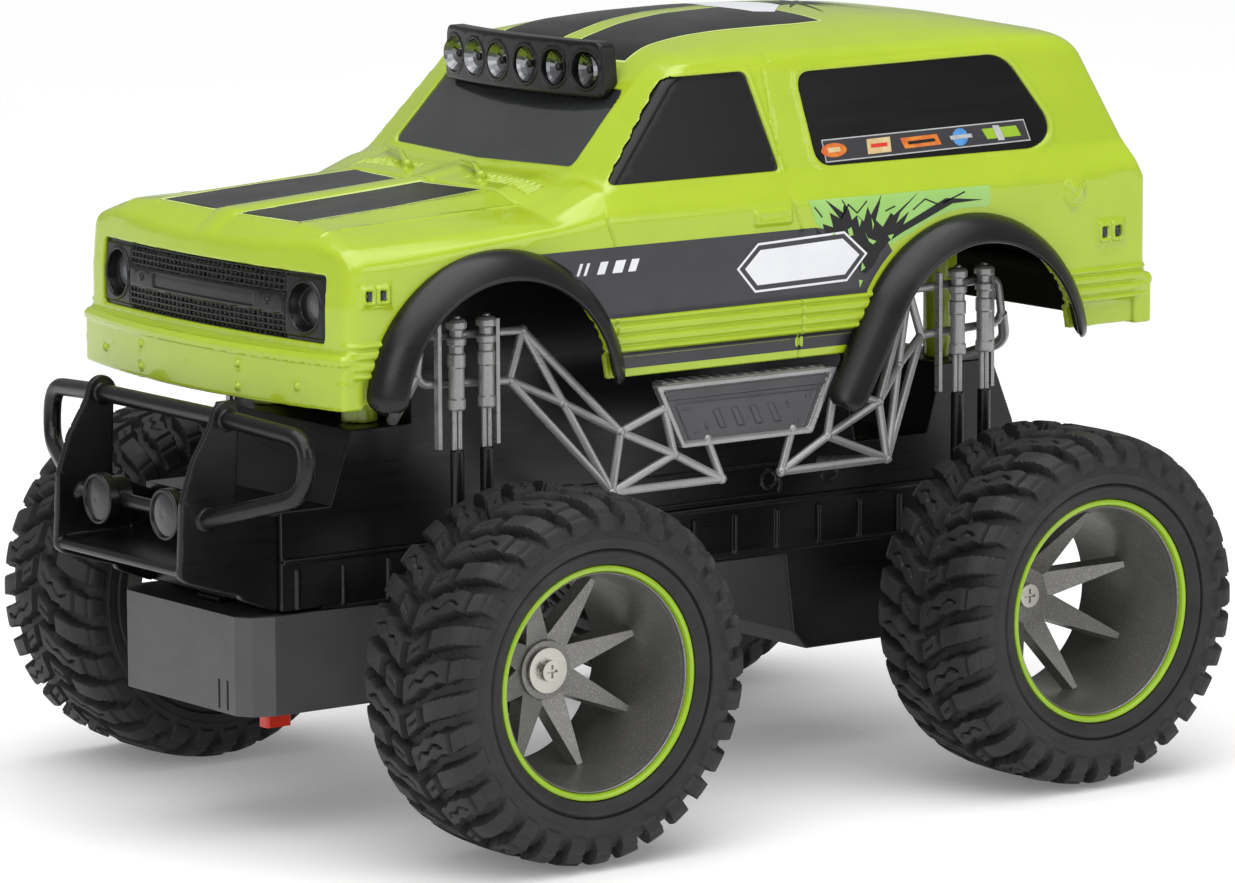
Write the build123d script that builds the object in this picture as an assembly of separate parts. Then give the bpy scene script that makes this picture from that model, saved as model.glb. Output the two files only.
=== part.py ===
from build123d import *
from math import acos, cos, pi, radians, sin, tan
import os

# Remote control monster truck with a vintage two-door body, in millimetres.
# +X is forward, +Y is the vehicle's left and +Z is up. Everything is modelled about the point
# midway between the axles on the floor, and moved along X at the end, so that the origin is
# under the middle of the bounding box.

# Running gear
WHEELBASE = 176.0
AXLE_X = WHEELBASE / 2
TYRE_RADIUS = 50.8
AXLE_Z = TYRE_RADIUS
WHEEL_Y = 92.65
SHAFT_RADIUS = 2.0
RUNNING_GAP = 0.05
SLIDE_GAP = 0.3

# Overall ends, which fix the origin
FRONT_X = 169.0
REAR_X = -149.2
ORIGIN_SHIFT = -(FRONT_X + REAR_X) / 2

# Tyre and rim, measured from the wheel's middle plane outwards
TYRE_HALF = 22.4
BEAD_RADIUS = 31.0
RING_OUTER = 32.1
RING_INNER = 29.3
RING_FACE = 20.35
RING_BACK = 17.4
CARCASS_RADIUS = 47.4
TREAD_UNITS = 16
SPOKES = 8
SPOKE_PHASE = 17.0
BARREL_INNER = 27.3
SPOKE_TIP = 0.35
FRONT_HUB_FACE = -4.3
REAR_HUB_FACE = -13.2

# Chassis
HULL_HALF = 34.0
HULL_FRONT = 137.4
HULL_REAR = -121.0
WALL = 2.0
SPLIT_Z = 78.0
TOWER_TOP = 112.3
SPINE_FRONT, SPINE_REAR = 91.0, -62.0
SPINE_TOP = 154.0
POST_X = 103.0
POST_Y = 22.0

# Steering
KINGPIN_Y = 58.0
STEER_ARM = 18.0
STEER_LIMIT = 22.0
ARM_TOP = 67.5
RACK_BOTTOM = 49.0
RACK_TOP = 53.0
RACK_MODULE = 1.0
STEER_TEETH = 14
RACK_PITCH_X = AXLE_X - 13.3
STEER_GEAR_X = RACK_PITCH_X + RACK_MODULE * STEER_TEETH / 2

# Drive train
GEAR_MODULE = 0.7
AXLE_TEETH = 40
COUNTER_SMALL = 12
COUNTER_BIG = 38
PINION_TEETH = 10
PRESSURE_ANGLE = radians(25)
ADDENDUM = 0.8
DEDENDUM = 1.1
BACKLASH = 0.12
COUNTER_X = -AXLE_X + GEAR_MODULE * (AXLE_TEETH + COUNTER_SMALL) / 2
MOTOR_X = COUNTER_X + GEAR_MODULE * (COUNTER_BIG + PINION_TEETH) / 2

# Body shell
BODY_HALF = 66.0
SHELL = 2.0
CREASE_Z = 168.6
BELT_Z = 174.0
EAVES_Z = 206.0
SILL_Z = 124.0
FRONT_ARCH = (88.0, 120.5)
REAR_ARCH = (-78.0, 118.0)
ARCH_CUT = 38.5
FLARE_OUTER = 42.5
REAR_LEG_ANGLE = 30.0
REAR_LEG_LENGTH = 31.0
BUTTON_X, BUTTON_Y = 131.3, 21.0

os.makedirs("parts", exist_ok=True)


def save(name, *solids):
    """Writes one node, as one solid or a group of separate solids."""
    moved = [Pos(ORIGIN_SHIFT, 0, 0) * solid for solid in solids]
    shape = moved[0] if len(moved) == 1 else Compound(children=moved)
    export_step(shape, f"parts/{name}.step")


def block(x, y, z):
    """A box from three (low, high) pairs."""
    size = [high - low for low, high in (x, y, z)]
    return Pos(x[0], y[0], z[0]) * Box(*size, align=(Align.MIN, Align.MIN, Align.MIN))


def rod(start, end, radius):
    """A round bar between two points."""
    start, end = Vector(*start), Vector(*end)
    run = end - start
    place = Plane(origin=start, z_dir=run)
    return place * Cylinder(radius, run.length, align=(Align.CENTER, Align.CENTER, Align.MIN))


def side_prism(face, low, high):
    """A face drawn in X and Z, carried across from Y = low to Y = high."""
    plane = Plane((0, high, 0), x_dir=(1, 0, 0), z_dir=(0, -1, 0))
    return extrude(plane * face, high - low, dir=(0, -1, 0))


def front_prism(face, low, high):
    """A face drawn in Y and Z, carried along from X = low to X = high."""
    return extrude(Plane.YZ.offset(low) * face, high - low, dir=(1, 0, 0))


def plan_prism(face, low, high):
    """A face drawn in X and Y, carried up from Z = low to Z = high."""
    return extrude(Plane.XY.offset(low) * face, high - low, dir=(0, 0, 1))


def polygon(*points, inset=0.0):
    face = make_face(Polyline(*points, close=True))
    return offset(face, -inset, kind=Kind.INTERSECTION) if inset else face


def mirrored(points):
    """A closed outline from its left half, symmetric about the first coordinate's axis."""
    return list(points) + [(-a, b) for a, b in reversed(points) if a]


def pair(shape):
    """The left piece and its twin on the right."""
    return shape, mirror(shape, about=Plane.XZ)


def bent_tube(points, bends, radius):
    """A round tube along straight runs with rounded corners."""
    path = FilletPolyline(*points, radius=bends)
    section = Plane(origin=path @ 0, z_dir=path % 0) * Circle(radius)
    return sweep(section, path=path)


def on_wheel(shape, x):
    """Turns a piece drawn about +Z, outwards up, on to the left wheel at x."""
    return Pos(x, WHEEL_Y, AXLE_Z) * Rot(-90, 0, 0) * shape


def involute(angle):
    return tan(angle) - angle


def gear(module, teeth, width, bore, phase=0.0):
    """A spur gear about +Z, with a tooth centred on the phase angle in radians."""
    pitch = module * teeth / 2
    base = pitch * cos(PRESSURE_ANGLE)
    radii = (pitch - DEDENDUM * module, pitch, pitch + ADDENDUM * module)
    half = pi / (2 * teeth) - BACKLASH / 2 / pitch

    def flank(radius, centre, side):
        roll = acos(min(1.0, base / radius))
        angle = centre + side * (half + involute(PRESSURE_ANGLE) - involute(roll))
        return radius * cos(angle), radius * sin(angle)

    edges = []
    for tooth in range(teeth):
        centre = phase + 2 * pi * tooth / teeth
        rise = [flank(r, centre, -1) for r in radii]
        fall = [flank(r, centre, 1) for r in reversed(radii)]
        following = flank(radii[0], centre + 2 * pi / teeth, -1)
        edges.append(ThreePointArc(*rise))
        edges.append(Line(rise[-1], fall[0]))
        edges.append(ThreePointArc(*fall))
        edges.append(Line(fall[-1], following))
    return extrude(make_face(edges) - Circle(bore), width, dir=(0, 0, 1))


def across(shape, x, y):
    """Places a piece drawn about +Z on an axis along +Y at axle height."""
    return Pos(x, y, AXLE_Z) * Rot(-90, 0, 0) * shape


# ---------------------------------------------------------------- wheels

def tyre():
    """Carcass with a sealed air space, and blocks set out in a chevron tread."""
    bead_seat = RING_OUTER + 0.1
    sidewall_end = (46.0, 21.2)
    outside = [
        Line((bead_seat, RING_BACK), (bead_seat, 19.6)),
        ThreePointArc((bead_seat, 19.6), (39.5, TYRE_HALF), sidewall_end),
        ThreePointArc(sidewall_end, (CARCASS_RADIUS, 0), (46.0, -21.2)),
        ThreePointArc((46.0, -21.2), (39.5, -TYRE_HALF), (bead_seat, -19.6)),
        Line((bead_seat, -19.6), (bead_seat, -RING_BACK)),
    ]
    air_space = [(34.0, 17.0), (41.5, 18.4), (43.6, 16.0), (44.2, 0.0)]
    inner = [(bead_seat, -RING_BACK), (BEAD_RADIUS, -RING_BACK), (BEAD_RADIUS, -13.5)]
    inner += [(r, -w) for r, w in air_space[:-1]]
    inner += list(reversed(air_space))
    inner += [(BEAD_RADIUS, 13.5), (BEAD_RADIUS, RING_BACK), (bead_seat, RING_BACK)]
    profile = make_face(outside + [Polyline(*inner)])
    carcass = revolve(Plane.XZ * profile, Axis.Z)
    tread_limit = polygon((45.5, -22.0), (47.5, -22.0), (49.4, -19.7), (TYRE_RADIUS, -12.0),
                          (TYRE_RADIUS, 12.0), (49.4, 19.7), (47.5, 22.0), (45.5, 22.0))
    crown = revolve(Plane.XZ * tread_limit, Axis.Z)
    long_bar = polygon((-4.0, 2.0), (2.5, 2.0), (8.0, 23.0), (1.5, 23.0))
    short_bar = polygon((-6.5, 11.5), (-2.5, 11.5), (0.2, 23.0), (-4.2, 23.0))
    radial = Plane(origin=(45.6, 0, 0), x_dir=(0, 1, 0), z_dir=(1, 0, 0))
    bars = [extrude(radial * shape, 6.5, dir=(1, 0, 0)) for shape in (long_bar, short_bar)]
    stagger = 360 / TREAD_UNITS / 2
    bars += [Rot(0, 0, stagger) * mirror(bar, about=Plane.XY) for bar in bars]
    lugs = [Rot(0, 0, k * 360 / TREAD_UNITS) * bar for k in range(TREAD_UNITS) for bar in bars]
    tread = crown & (Part() + lugs)
    return carcass + tread


def rim(hub_face, bore):
    """Barrel, hub and flat-topped tapered spokes that slope in from the barrel."""
    barrel = polygon((RING_INNER, RING_BACK), (BARREL_INNER, SPOKE_TIP), (BARREL_INNER, -RING_FACE),
                     (RING_OUTER, -RING_FACE), (RING_OUTER, -RING_BACK),
                     (BEAD_RADIUS - 0.1, -RING_BACK), (BEAD_RADIUS - 0.1, RING_BACK))
    wheel = revolve(Plane.XZ * barrel, Axis.Z)
    hub_depth = -19.5
    hub = Pos(0, 0, hub_depth) * Cylinder(8.0, hub_face - hub_depth,
                                          align=(Align.CENTER, Align.CENTER, Align.MIN))
    root_top, root_base = hub_face - 1.4, hub_face - 6.5
    root = polygon((-4.6, root_base), (4.6, root_base), (4.2, root_top), (-4.2, root_top))
    tip = polygon((-1.9, SPOKE_TIP - 3.4), (1.9, SPOKE_TIP - 3.4), (0.7, SPOKE_TIP), (-0.7, SPOKE_TIP))
    spoke = loft([Plane.YZ.offset(5.5) * root, Plane.YZ.offset(28.4) * tip], ruled=True)
    spokes = [Rot(0, 0, SPOKE_PHASE + k * 360 / SPOKES) * spoke for k in range(SPOKES)]
    return (wheel + hub + spokes) - Pos(0, 0, -15) * Cylinder(bore, 60)


def trim_ring():
    section = polygon((RING_INNER, RING_BACK), (RING_INNER, RING_FACE - 1.0), (30.2, RING_FACE),
                      (31.4, RING_FACE), (RING_OUTER, RING_FACE - 0.8), (RING_OUTER, RING_BACK))
    return revolve(Plane.XZ * section, Axis.Z)


def screw_head(radius, height):
    """A pan head with a cross recess, from z = 0 upwards."""
    head = Cylinder(radius, height, align=(Align.CENTER, Align.CENTER, Align.MIN))
    slot = Pos(0, 0, height) * (Box(radius * 1.2, 0.7, 1.4) + Box(0.7, radius * 1.2, 1.4))
    return head - slot


def build_wheels():
    rubber = tyre()
    ring = trim_ring()
    front_rim = rim(FRONT_HUB_FACE, SHAFT_RADIUS + RUNNING_GAP)
    rear_rim = rim(REAR_HUB_FACE, SHAFT_RADIUS)
    for end, x, metal in (("front", AXLE_X, front_rim), ("rear", -AXLE_X, rear_rim)):
        for kind, shape in (("tyre", rubber), ("rim", metal)):
            left, right = pair(on_wheel(shape, x))
            save(f"{end}_left_{kind}", left)
            save(f"{end}_right_{kind}", right)
    left, right = pair(on_wheel(ring, AXLE_X))
    save("front_left_trim_ring", left)
    save("front_right_trim_ring", right)
    save("rear_trim_rings", *pair(on_wheel(ring, -AXLE_X)))


# ---------------------------------------------------------------- steering and drive

def build_front_axle():
    arm_x = (AXLE_X - 12, AXLE_X + 9)
    upper = block(arm_x, (HULL_HALF, 63), (62.5, ARM_TOP))
    lower = block(arm_x, (HULL_HALF, 63), (34, 39))
    web = block((AXLE_X - 6, AXLE_X + 6), (HULL_HALF, 47), (39, 62.5))
    bore = rod((AXLE_X, KINGPIN_Y, 30), (AXLE_X, KINGPIN_Y, 70), SHAFT_RADIUS)
    save("front_axle_beams", *pair(upper + lower + web - bore))
    pin = rod((AXLE_X, KINGPIN_Y, 34), (AXLE_X, KINGPIN_Y, ARM_TOP + 0.8), SHAFT_RADIUS)
    head = rod((AXLE_X, KINGPIN_Y, 31.8), (AXLE_X, KINGPIN_Y, 34), 3.6)
    save("kingpins", *pair(pin + head))


def build_knuckles():
    axis = (AXLE_X, KINGPIN_Y)
    barrel = rod((*axis, 39.3), (*axis, 62.2), 6.0)
    boss = rod((AXLE_X, KINGPIN_Y, AXLE_Z), (AXLE_X, 70.5, AXLE_Z), 5.5)
    arm = block((AXLE_X - STEER_ARM - 3, AXLE_X), (KINGPIN_Y - 3, KINGPIN_Y + 3), (44, 48.2))
    pin_x = AXLE_X - STEER_ARM
    pin = rod((pin_x, KINGPIN_Y, 46), (pin_x, KINGPIN_Y, RACK_TOP + 0.8), SHAFT_RADIUS)
    bore = rod((*axis, 35), (*axis, 65), SHAFT_RADIUS + RUNNING_GAP)
    axle_bore = rod((AXLE_X, 62, AXLE_Z), (AXLE_X, 71, AXLE_Z), SHAFT_RADIUS)
    knuckle = barrel + boss + arm + pin - bore - axle_bore
    hub_y = WHEEL_Y + FRONT_HUB_FACE
    stub = rod((AXLE_X, 62, AXLE_Z), (AXLE_X, hub_y + 0.2, AXLE_Z), SHAFT_RADIUS)
    washer = rod((AXLE_X, hub_y + 0.2, AXLE_Z), (AXLE_X, hub_y + 1.1, AXLE_Z), 6.2)
    head = Pos(AXLE_X, hub_y + 1.1, AXLE_Z) * Rot(-90, 0, 0) * screw_head(3.0, 1.8)
    for kind, shape in (("knuckle", knuckle), ("stub_axle", stub), ("wheel_screw", washer + head)):
        left, right = pair(shape)
        save(f"left_{kind}", left)
        save(f"right_{kind}", right)


def build_rack():
    """Rack across the car. Its ends hold a slot for each knuckle's pin."""
    pin_x = AXLE_X - STEER_ARM
    root_x = RACK_PITCH_X - DEDENDUM * RACK_MODULE
    bar = block((pin_x - 3.5, root_x), (-KINGPIN_Y, KINGPIN_Y), (RACK_BOTTOM, RACK_TOP))
    end_x = (pin_x - 5, pin_x + 6.5)
    draw_in = STEER_ARM * (1 - cos(radians(STEER_LIMIT)))
    reach = SHAFT_RADIUS + SLIDE_GAP
    for side in (-1, 1):
        y = side * KINGPIN_Y
        bar += block(end_x, (y - 5, y + 5), (RACK_BOTTOM, RACK_TOP))
        bar -= block((pin_x - reach, pin_x + draw_in + reach), (y - reach, y + reach), (40, 60))
    tooth_pitch = pi * RACK_MODULE
    half = tooth_pitch / 4 - BACKLASH / 2
    slope = tan(PRESSURE_ANGLE) * RACK_MODULE
    root, crest = half + slope * DEDENDUM, half - slope * ADDENDUM
    tip_x = RACK_PITCH_X + ADDENDUM * RACK_MODULE
    for k in range(-4, 4):
        y = (k + 0.5) * tooth_pitch
        tooth = polygon((root_x - 0.5, y - root), (root_x, y - root), (tip_x, y - crest),
                        (tip_x, y + crest), (root_x, y + root), (root_x - 0.5, y + root))
        bar += plan_prism(tooth, RACK_BOTTOM, RACK_TOP)
    save("steering_rack", bar)


def build_steering_servo():
    pinion = gear(RACK_MODULE, STEER_TEETH, 4.6, 0.5, phase=pi)
    shaft = Cylinder(SHAFT_RADIUS, 9.0, align=(Align.CENTER, Align.CENTER, Align.MIN))
    save("steering_gear", Pos(STEER_GEAR_X, 0, RACK_BOTTOM - 0.3) * (pinion + shaft))
    case = block((STEER_GEAR_X - 9, STEER_GEAR_X + 14), (-11, 11), (54.0, 73.0))
    ears = block((STEER_GEAR_X - 13, STEER_GEAR_X + 16.5), (-8, 8), (61, 63))
    socket = rod((STEER_GEAR_X, 0, 53), (STEER_GEAR_X, 0, 58.5), SHAFT_RADIUS + RUNNING_GAP)
    save("steering_servo", case + ears - socket)


def build_rear_axle():
    end_y = WHEEL_Y + REAR_HUB_FACE
    shaft = rod((-AXLE_X, -end_y, AXLE_Z), (-AXLE_X, end_y, AXLE_Z), SHAFT_RADIUS)
    save("rear_axle_shaft", shaft)
    tube_end = 69.0
    tube = rod((-AXLE_X, HULL_HALF, AXLE_Z), (-AXLE_X, tube_end, AXLE_Z), 7.0)
    saddle = block((-AXLE_X - 9, -AXLE_X + 9), (50, 58), (AXLE_Z, ARM_TOP))
    hollow = rod((-AXLE_X, 30, AXLE_Z), (-AXLE_X, tube_end + 1, AXLE_Z), 4.0)
    save("rear_axle_tubes", *pair(tube + saddle - hollow))
    bush = rod((-AXLE_X, tube_end - 8, AXLE_Z), (-AXLE_X, tube_end, AXLE_Z), 4.0)
    bush -= rod((-AXLE_X, 50, AXLE_Z), (-AXLE_X, 80, AXLE_Z), SHAFT_RADIUS + RUNNING_GAP)
    save("rear_axle_bushings", *pair(bush))
    head = Rot(-90, 0, 0) * screw_head(3.4, 2.0)
    save("rear_wheel_screws", *pair(Pos(-AXLE_X, end_y, AXLE_Z) * head))


def build_gear_train():
    save("axle_gear", across(gear(GEAR_MODULE, AXLE_TEETH, 4.0, SHAFT_RADIUS), -AXLE_X, 15.0))
    shaft_radius = 1.5
    big = gear(GEAR_MODULE, COUNTER_BIG, 4.0, shaft_radius)
    small = gear(GEAR_MODULE, COUNTER_SMALL, 7.0, shaft_radius, phase=pi + pi / COUNTER_SMALL)
    save("counter_gear", across(big + Pos(0, 0, 4.0) * small, COUNTER_X, 8.5))
    save("counter_shaft", rod((COUNTER_X, 5.5, AXLE_Z), (COUNTER_X, 23, AXLE_Z), shaft_radius))
    pinion = gear(GEAR_MODULE, PINION_TEETH, 5.0, 1.0, phase=pi + pi / PINION_TEETH)
    save("motor_pinion", across(pinion, MOTOR_X, 8.0))
    save("rotor_shaft", rod((MOTOR_X, -24, AXLE_Z), (MOTOR_X, 14.5, AXLE_Z), 1.0))
    can = rod((MOTOR_X, -25, AXLE_Z), (MOTOR_X, 5.5, AXLE_Z), 12.0)
    boss = rod((MOTOR_X, 5.5, AXLE_Z), (MOTOR_X, 7.4, AXLE_Z), 3.5)
    cavity = rod((MOTOR_X, -24.2, AXLE_Z), (MOTOR_X, 4.5, AXLE_Z), 10.8)
    through = rod((MOTOR_X, 4, AXLE_Z), (MOTOR_X, 8, AXLE_Z), 1.0 + RUNNING_GAP)
    save("drive_motor", can + boss - cavity - through)
    outline = polygon((-101, 35.5), (-46, 35.5), (-46, 62), (-101, 62))
    bores = [
        (-AXLE_X, SHAFT_RADIUS + RUNNING_GAP),
        (COUNTER_X, shaft_radius + RUNNING_GAP),
        (MOTOR_X, 3.5),
    ]
    plates = []
    for low, high in ((5.5, 7.4), (21.0, 23.0)):
        plate = side_prism(outline, low, high)
        for x, radius in bores:
            plate -= rod((x, low - 1, AXLE_Z), (x, high + 1, AXLE_Z), radius)
        plates.append(plate)
    save("gearbox_plates", *plates)


# ---------------------------------------------------------------- chassis

def build_chassis():
    low = 33.5
    keel = polygon((HULL_FRONT, 64.3), (HULL_FRONT, SPLIT_Z), (HULL_REAR, SPLIT_Z), (HULL_REAR, 70),
                   (-113, 62), (-107, 37.5), (-104, low), (-44, low), (-39, 39), (-36, 62),
                   (55, 62), (59, 39), (61, 37), (99, 37), (101, 39), (101, 64.3))
    room = offset(keel, -WALL, kind=Kind.INTERSECTION)
    room_y = HULL_HALF - WALL
    tub = side_prism(keel, -HULL_HALF, HULL_HALF) - side_prism(room, -room_y, room_y)
    tub -= block((HULL_REAR + WALL, HULL_FRONT - WALL), (-room_y, room_y), (SPLIT_Z - 4, SPLIT_Z + 1))
    tub -= rod((-AXLE_X, -40, AXLE_Z), (-AXLE_X, 40, AXLE_Z), 4.0)
    pin_x = AXLE_X - STEER_ARM
    tub -= block((pin_x - 4.5, RACK_PITCH_X + 1.5), (-40, 40), (RACK_BOTTOM - 0.8, RACK_TOP + 0.8))
    tub += block((104.5, 139), (-5.7, 5.7), (59.5, 64.3)) + block((104.5, 139), (-9.7, 9.7), (57.9, 60.5))
    save("chassis_tub", tub)

    roofline = polygon((HULL_FRONT, SPLIT_Z), (HULL_FRONT, 92), (121, 92), (114, TOWER_TOP),
                       (SPINE_FRONT + 3, TOWER_TOP), (SPINE_FRONT, SPINE_TOP), (36, SPINE_TOP), (22, 119),
                       (SPINE_REAR + 6, 119), (SPINE_REAR, 92.4), (-88, 92.4), (-94, TOWER_TOP),
                       (-113, TOWER_TOP), (HULL_REAR, 93), (HULL_REAR, SPLIT_Z))
    space = offset(roofline, -WALL, kind=Kind.INTERSECTION)
    deck = side_prism(roofline, -HULL_HALF, HULL_HALF) - side_prism(space, -room_y, room_y)
    deck -= block((HULL_REAR + WALL, HULL_FRONT - WALL), (-room_y, room_y), (SPLIT_Z - 1, SPLIT_Z + 4))
    posts = [(x, y) for x in (POST_X, -POST_X) for y in (POST_Y, -POST_Y)]
    screws = []
    for x, y in posts:
        deck -= rod((x, y, 105), (x, y, 120), 1.5)
        shank = rod((x, y, 108), (x, y, 121), 1.5)
        screws.append(shank + rod((x, y, 108), (x, y, TOWER_TOP - WALL), 3.0))
    save("chassis_deck", deck)
    save("body_screws", *screws)

    board = block((-30, 50), (-26, 26), (66, 67.6))
    board += block((-14, 2), (-9, 7), (67.6, 69.4)) + block((14, 26), (6, 18), (67.6, 72))
    board += rod((36, -10, 67.6), (36, -10, 76), 4.0) + rod((-22, 14, 67.6), (-22, 14, 75), 3.2)
    feet = [rod((x, y, 64), (x, y, 66), 2.0) for x in (-26, 46) for y in (-22, 22)]
    save("circuit_board", board + feet)


def build_battery():
    nose = [(104, -34.2), (139.6, -34.2), (145.6, -31.6), (148.3, -27.3)]
    plan = polygon(*nose, *[(x, -y) for x, y in reversed(nose)])
    case = plan_prism(plan, 35.8, 63.3)
    case -= plan_prism(offset(plan, -1.5, kind=Kind.INTERSECTION), 37.3, 55.5)
    case -= block((100, 140), (-6.0, 6.0), (60.0, 70)) + block((100, 140), (-10.0, 10.0), (57.5, 60.8))
    for y in (19.2, 23.4):
        case -= block((146.8, 150), (y - 0.5, y + 0.5), (37.0, 45.0))
    hole_x, hole_y = (BUTTON_X - 4.3, BUTTON_X + 4.3), (BUTTON_Y - 2.6, BUTTON_Y + 2.6)
    case -= block(hole_x, hole_y, (35, 37.5))
    save("battery_case", case)
    cells = [rod((110, y, 48.2), (138, y, 48.2), 7.0) for y in (-22.2, -7.4, 7.4, 22.2)]
    save("battery_cells", *cells)
    button = block((hole_x[0] + SLIDE_GAP, hole_x[1] - SLIDE_GAP),
                   (hole_y[0] + SLIDE_GAP, hole_y[1] - SLIDE_GAP), (30.2, 37.6))
    button = fillet(button.edges().filter_by(Axis.Z), 1.0)
    button += block((hole_x[0] - 1.5, hole_x[1] + 1.5), (hole_y[0] - 1.5, hole_y[1] + 1.5), (37.5, 39))
    save("battery_release", button)
    contact = block((101, 103.7), (9, 14), (47, 55))
    save("battery_contacts", *pair(contact))


# ---------------------------------------------------------------- bull bar and side frames

PLATE_Y = 31.4
BAR_RADIUS = 2.5
LAMP_X, LAMP_Y, LAMP_Z = 159.0, 17.1, 91.7


def build_bull_bar():
    front_edge = ThreePointArc((157.0, 119.4), (167.8, 97.0), (FRONT_X, 77.0))
    crest = ThreePointArc((157.0, 119.4), (153.2, 123.6), (149.4, 119.4))
    back = Polyline((149.4, 119.4), (150.6, 96.0), (HULL_FRONT, 90.0), (HULL_FRONT, 64.0),
                    (156.0, 71.6), (167.4, 74.6), (FRONT_X, 77.0))
    side_face = make_face([front_edge, crest, back])
    plates = pair(side_prism(side_face, PLATE_Y - 1, PLATE_Y + 1))
    shelf = polygon((HULL_FRONT, 78.5), (HULL_FRONT, 80.5), (166.5, 78.6), (168.4, 77.6), (167.8, 76.4))
    floor = side_prism(shelf, -PLATE_Y, PLATE_Y)
    back_panel = side_prism(polygon((142, 79), (144, 79), (146.5, 88), (144.5, 88)), -PLATE_Y, PLATE_Y)
    top = rod((153.2, -PLATE_Y, 118.8), (153.2, PLATE_Y, 118.8), BAR_RADIUS)
    loop = bent_tube([(153.2, PLATE_Y, 118.8), (148.0, 64.0, 116.4), (148.6, 64.0, 101.0),
                      (160.6, PLATE_Y, 91.6)], 6.0, BAR_RADIUS)
    lamp_rail = rod((LAMP_X, -PLATE_Y, LAMP_Z), (LAMP_X, PLATE_Y, LAMP_Z), 2.0)
    bar = plates[0] + plates[1] + floor + back_panel + top + lamp_rail
    for side in pair(loop):
        bar += side
    save("bull_bar", bar)

    rear = rod((LAMP_X - 3.6, LAMP_Y, LAMP_Z), (LAMP_X + 1.4, LAMP_Y, LAMP_Z), 6.0)
    front = rod((LAMP_X + 1.4, LAMP_Y, LAMP_Z), (LAMP_X + 5.2, LAMP_Y, LAMP_Z), 7.1)
    cup = rod((LAMP_X + 4.2, LAMP_Y, LAMP_Z), (LAMP_X + 6, LAMP_Y, LAMP_Z), 6.2)
    rail_slot = rod((LAMP_X, 0, LAMP_Z), (LAMP_X, 40, LAMP_Z), 2.0)
    save("bull_bar_lamps", *pair(rear + front - cup - rail_slot))
    lens = rod((LAMP_X + 4.2, LAMP_Y, LAMP_Z), (LAMP_X + 5.0, LAMP_Y, LAMP_Z), 6.2)
    save("bull_bar_lenses", *pair(lens))


TRUSS_Y = 65.0
HOOP_Y = 50.0
TUBE = 1.2
JOINT_BALL = 1.5
TRUSS = {
    "hoop_top": (68.0, 50.5, 137.7),
    "hoop_low": (72.6, 50.5, 124.2),
    "cross": (59.0, 57.0, 117.3),
    "elbow": (45.5, TRUSS_Y, 109.0),
    "foot": (48.5, TRUSS_Y, 92.5),
    "mid": (27.0, TRUSS_Y, 101.0),
    "turn": (10.5, TRUSS_Y, 92.5),
    "plate_end": (30.0, 64.2, 114.0),
    "plate_low": (15.0, 64.2, 104.0),
    "hull": (48.5, HULL_HALF, 88.0),
}
MEMBERS = [
    ("hoop_top", "hoop_low"), ("hoop_top", "cross"), ("cross", "foot"), ("hoop_low", "cross"),
    ("cross", "elbow"), ("elbow", "mid"), ("mid", "turn"), ("hoop_top", "elbow"),
    ("hoop_low", "foot"), ("elbow", "foot"), ("foot", "mid"), ("foot", "turn"),
    ("elbow", "plate_end"), ("turn", "plate_low"), ("mid", "plate_end"), ("foot", "hull"),
]


def build_side_frames():
    """Space frame of thin tubes on each side, the same at the front and the rear."""
    half = [rod(TRUSS[a], TRUSS[b], TUBE) for a, b in MEMBERS]
    half += [Pos(*point) * Sphere(JOINT_BALL) for point in TRUSS.values() if point[1] != HULL_HALF]
    hoop = bent_tube([TRUSS["hoop_top"], (101.5, HOOP_Y, 138.5), (103.5, HOOP_Y, 125.5),
                      TRUSS["hoop_low"]], 3.5, TUBE)
    stub = bent_tube([(103.2, HOOP_Y, 128.0), (107.0, 47.0, 119.0), (99.0, 32.0, TOWER_TOP + 0.8)],
                     6.0, 1.6)
    half += [hoop, stub & block((80, 120), (20, 60), (TOWER_TOP, 140))]
    straps = [block((x - 0.6, x + 0.6), (51.0, 53.0), (107.5, 142.0)) for x in (78.0, 97.4)]
    half += straps
    front = Part() + half
    frame = front + mirror(front, about=Plane.YZ)
    left, right = pair(frame)
    save("left_side_frame", left)
    save("right_side_frame", right)


def build_side_plates():
    plate_x, face_y = 1.5, 65.4
    outline = [(plate_x - 22.9, 102.4), (plate_x - 31.8, 120.5),
               (plate_x + 31.8, 120.5), (plate_x + 22.9, 102.4)]
    plate = side_prism(polygon(*outline), face_y - 2.2, face_y)
    recess = offset(polygon(*outline), -2.6, kind=Kind.INTERSECTION)
    plate -= side_prism(recess, face_y - 0.6, face_y + 1)
    save("side_plates", *pair(plate))


def build_shocks():
    """Twin dummy shock absorbers at each corner, a cylinder over a rod."""
    cylinders, rods = [], []
    for x in (83.0, 92.9, -83.0, -92.9):
        for y in (54.4, -54.4):
            body = rod((x, y, 118.4), (x, y, 137.5), 2.5) + rod((x, y, 137.5), (x, y, 141.0), 2.0)
            cylinders.append(body + rod((x, y, 141.0), (x, y, 143.6), 2.9))
            rods.append(rod((x, y, ARM_TOP), (x, y, 118.4), 1.6))
    save("shock_cylinders", *cylinders)
    save("shock_rods", *rods)


# ---------------------------------------------------------------- body

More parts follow.
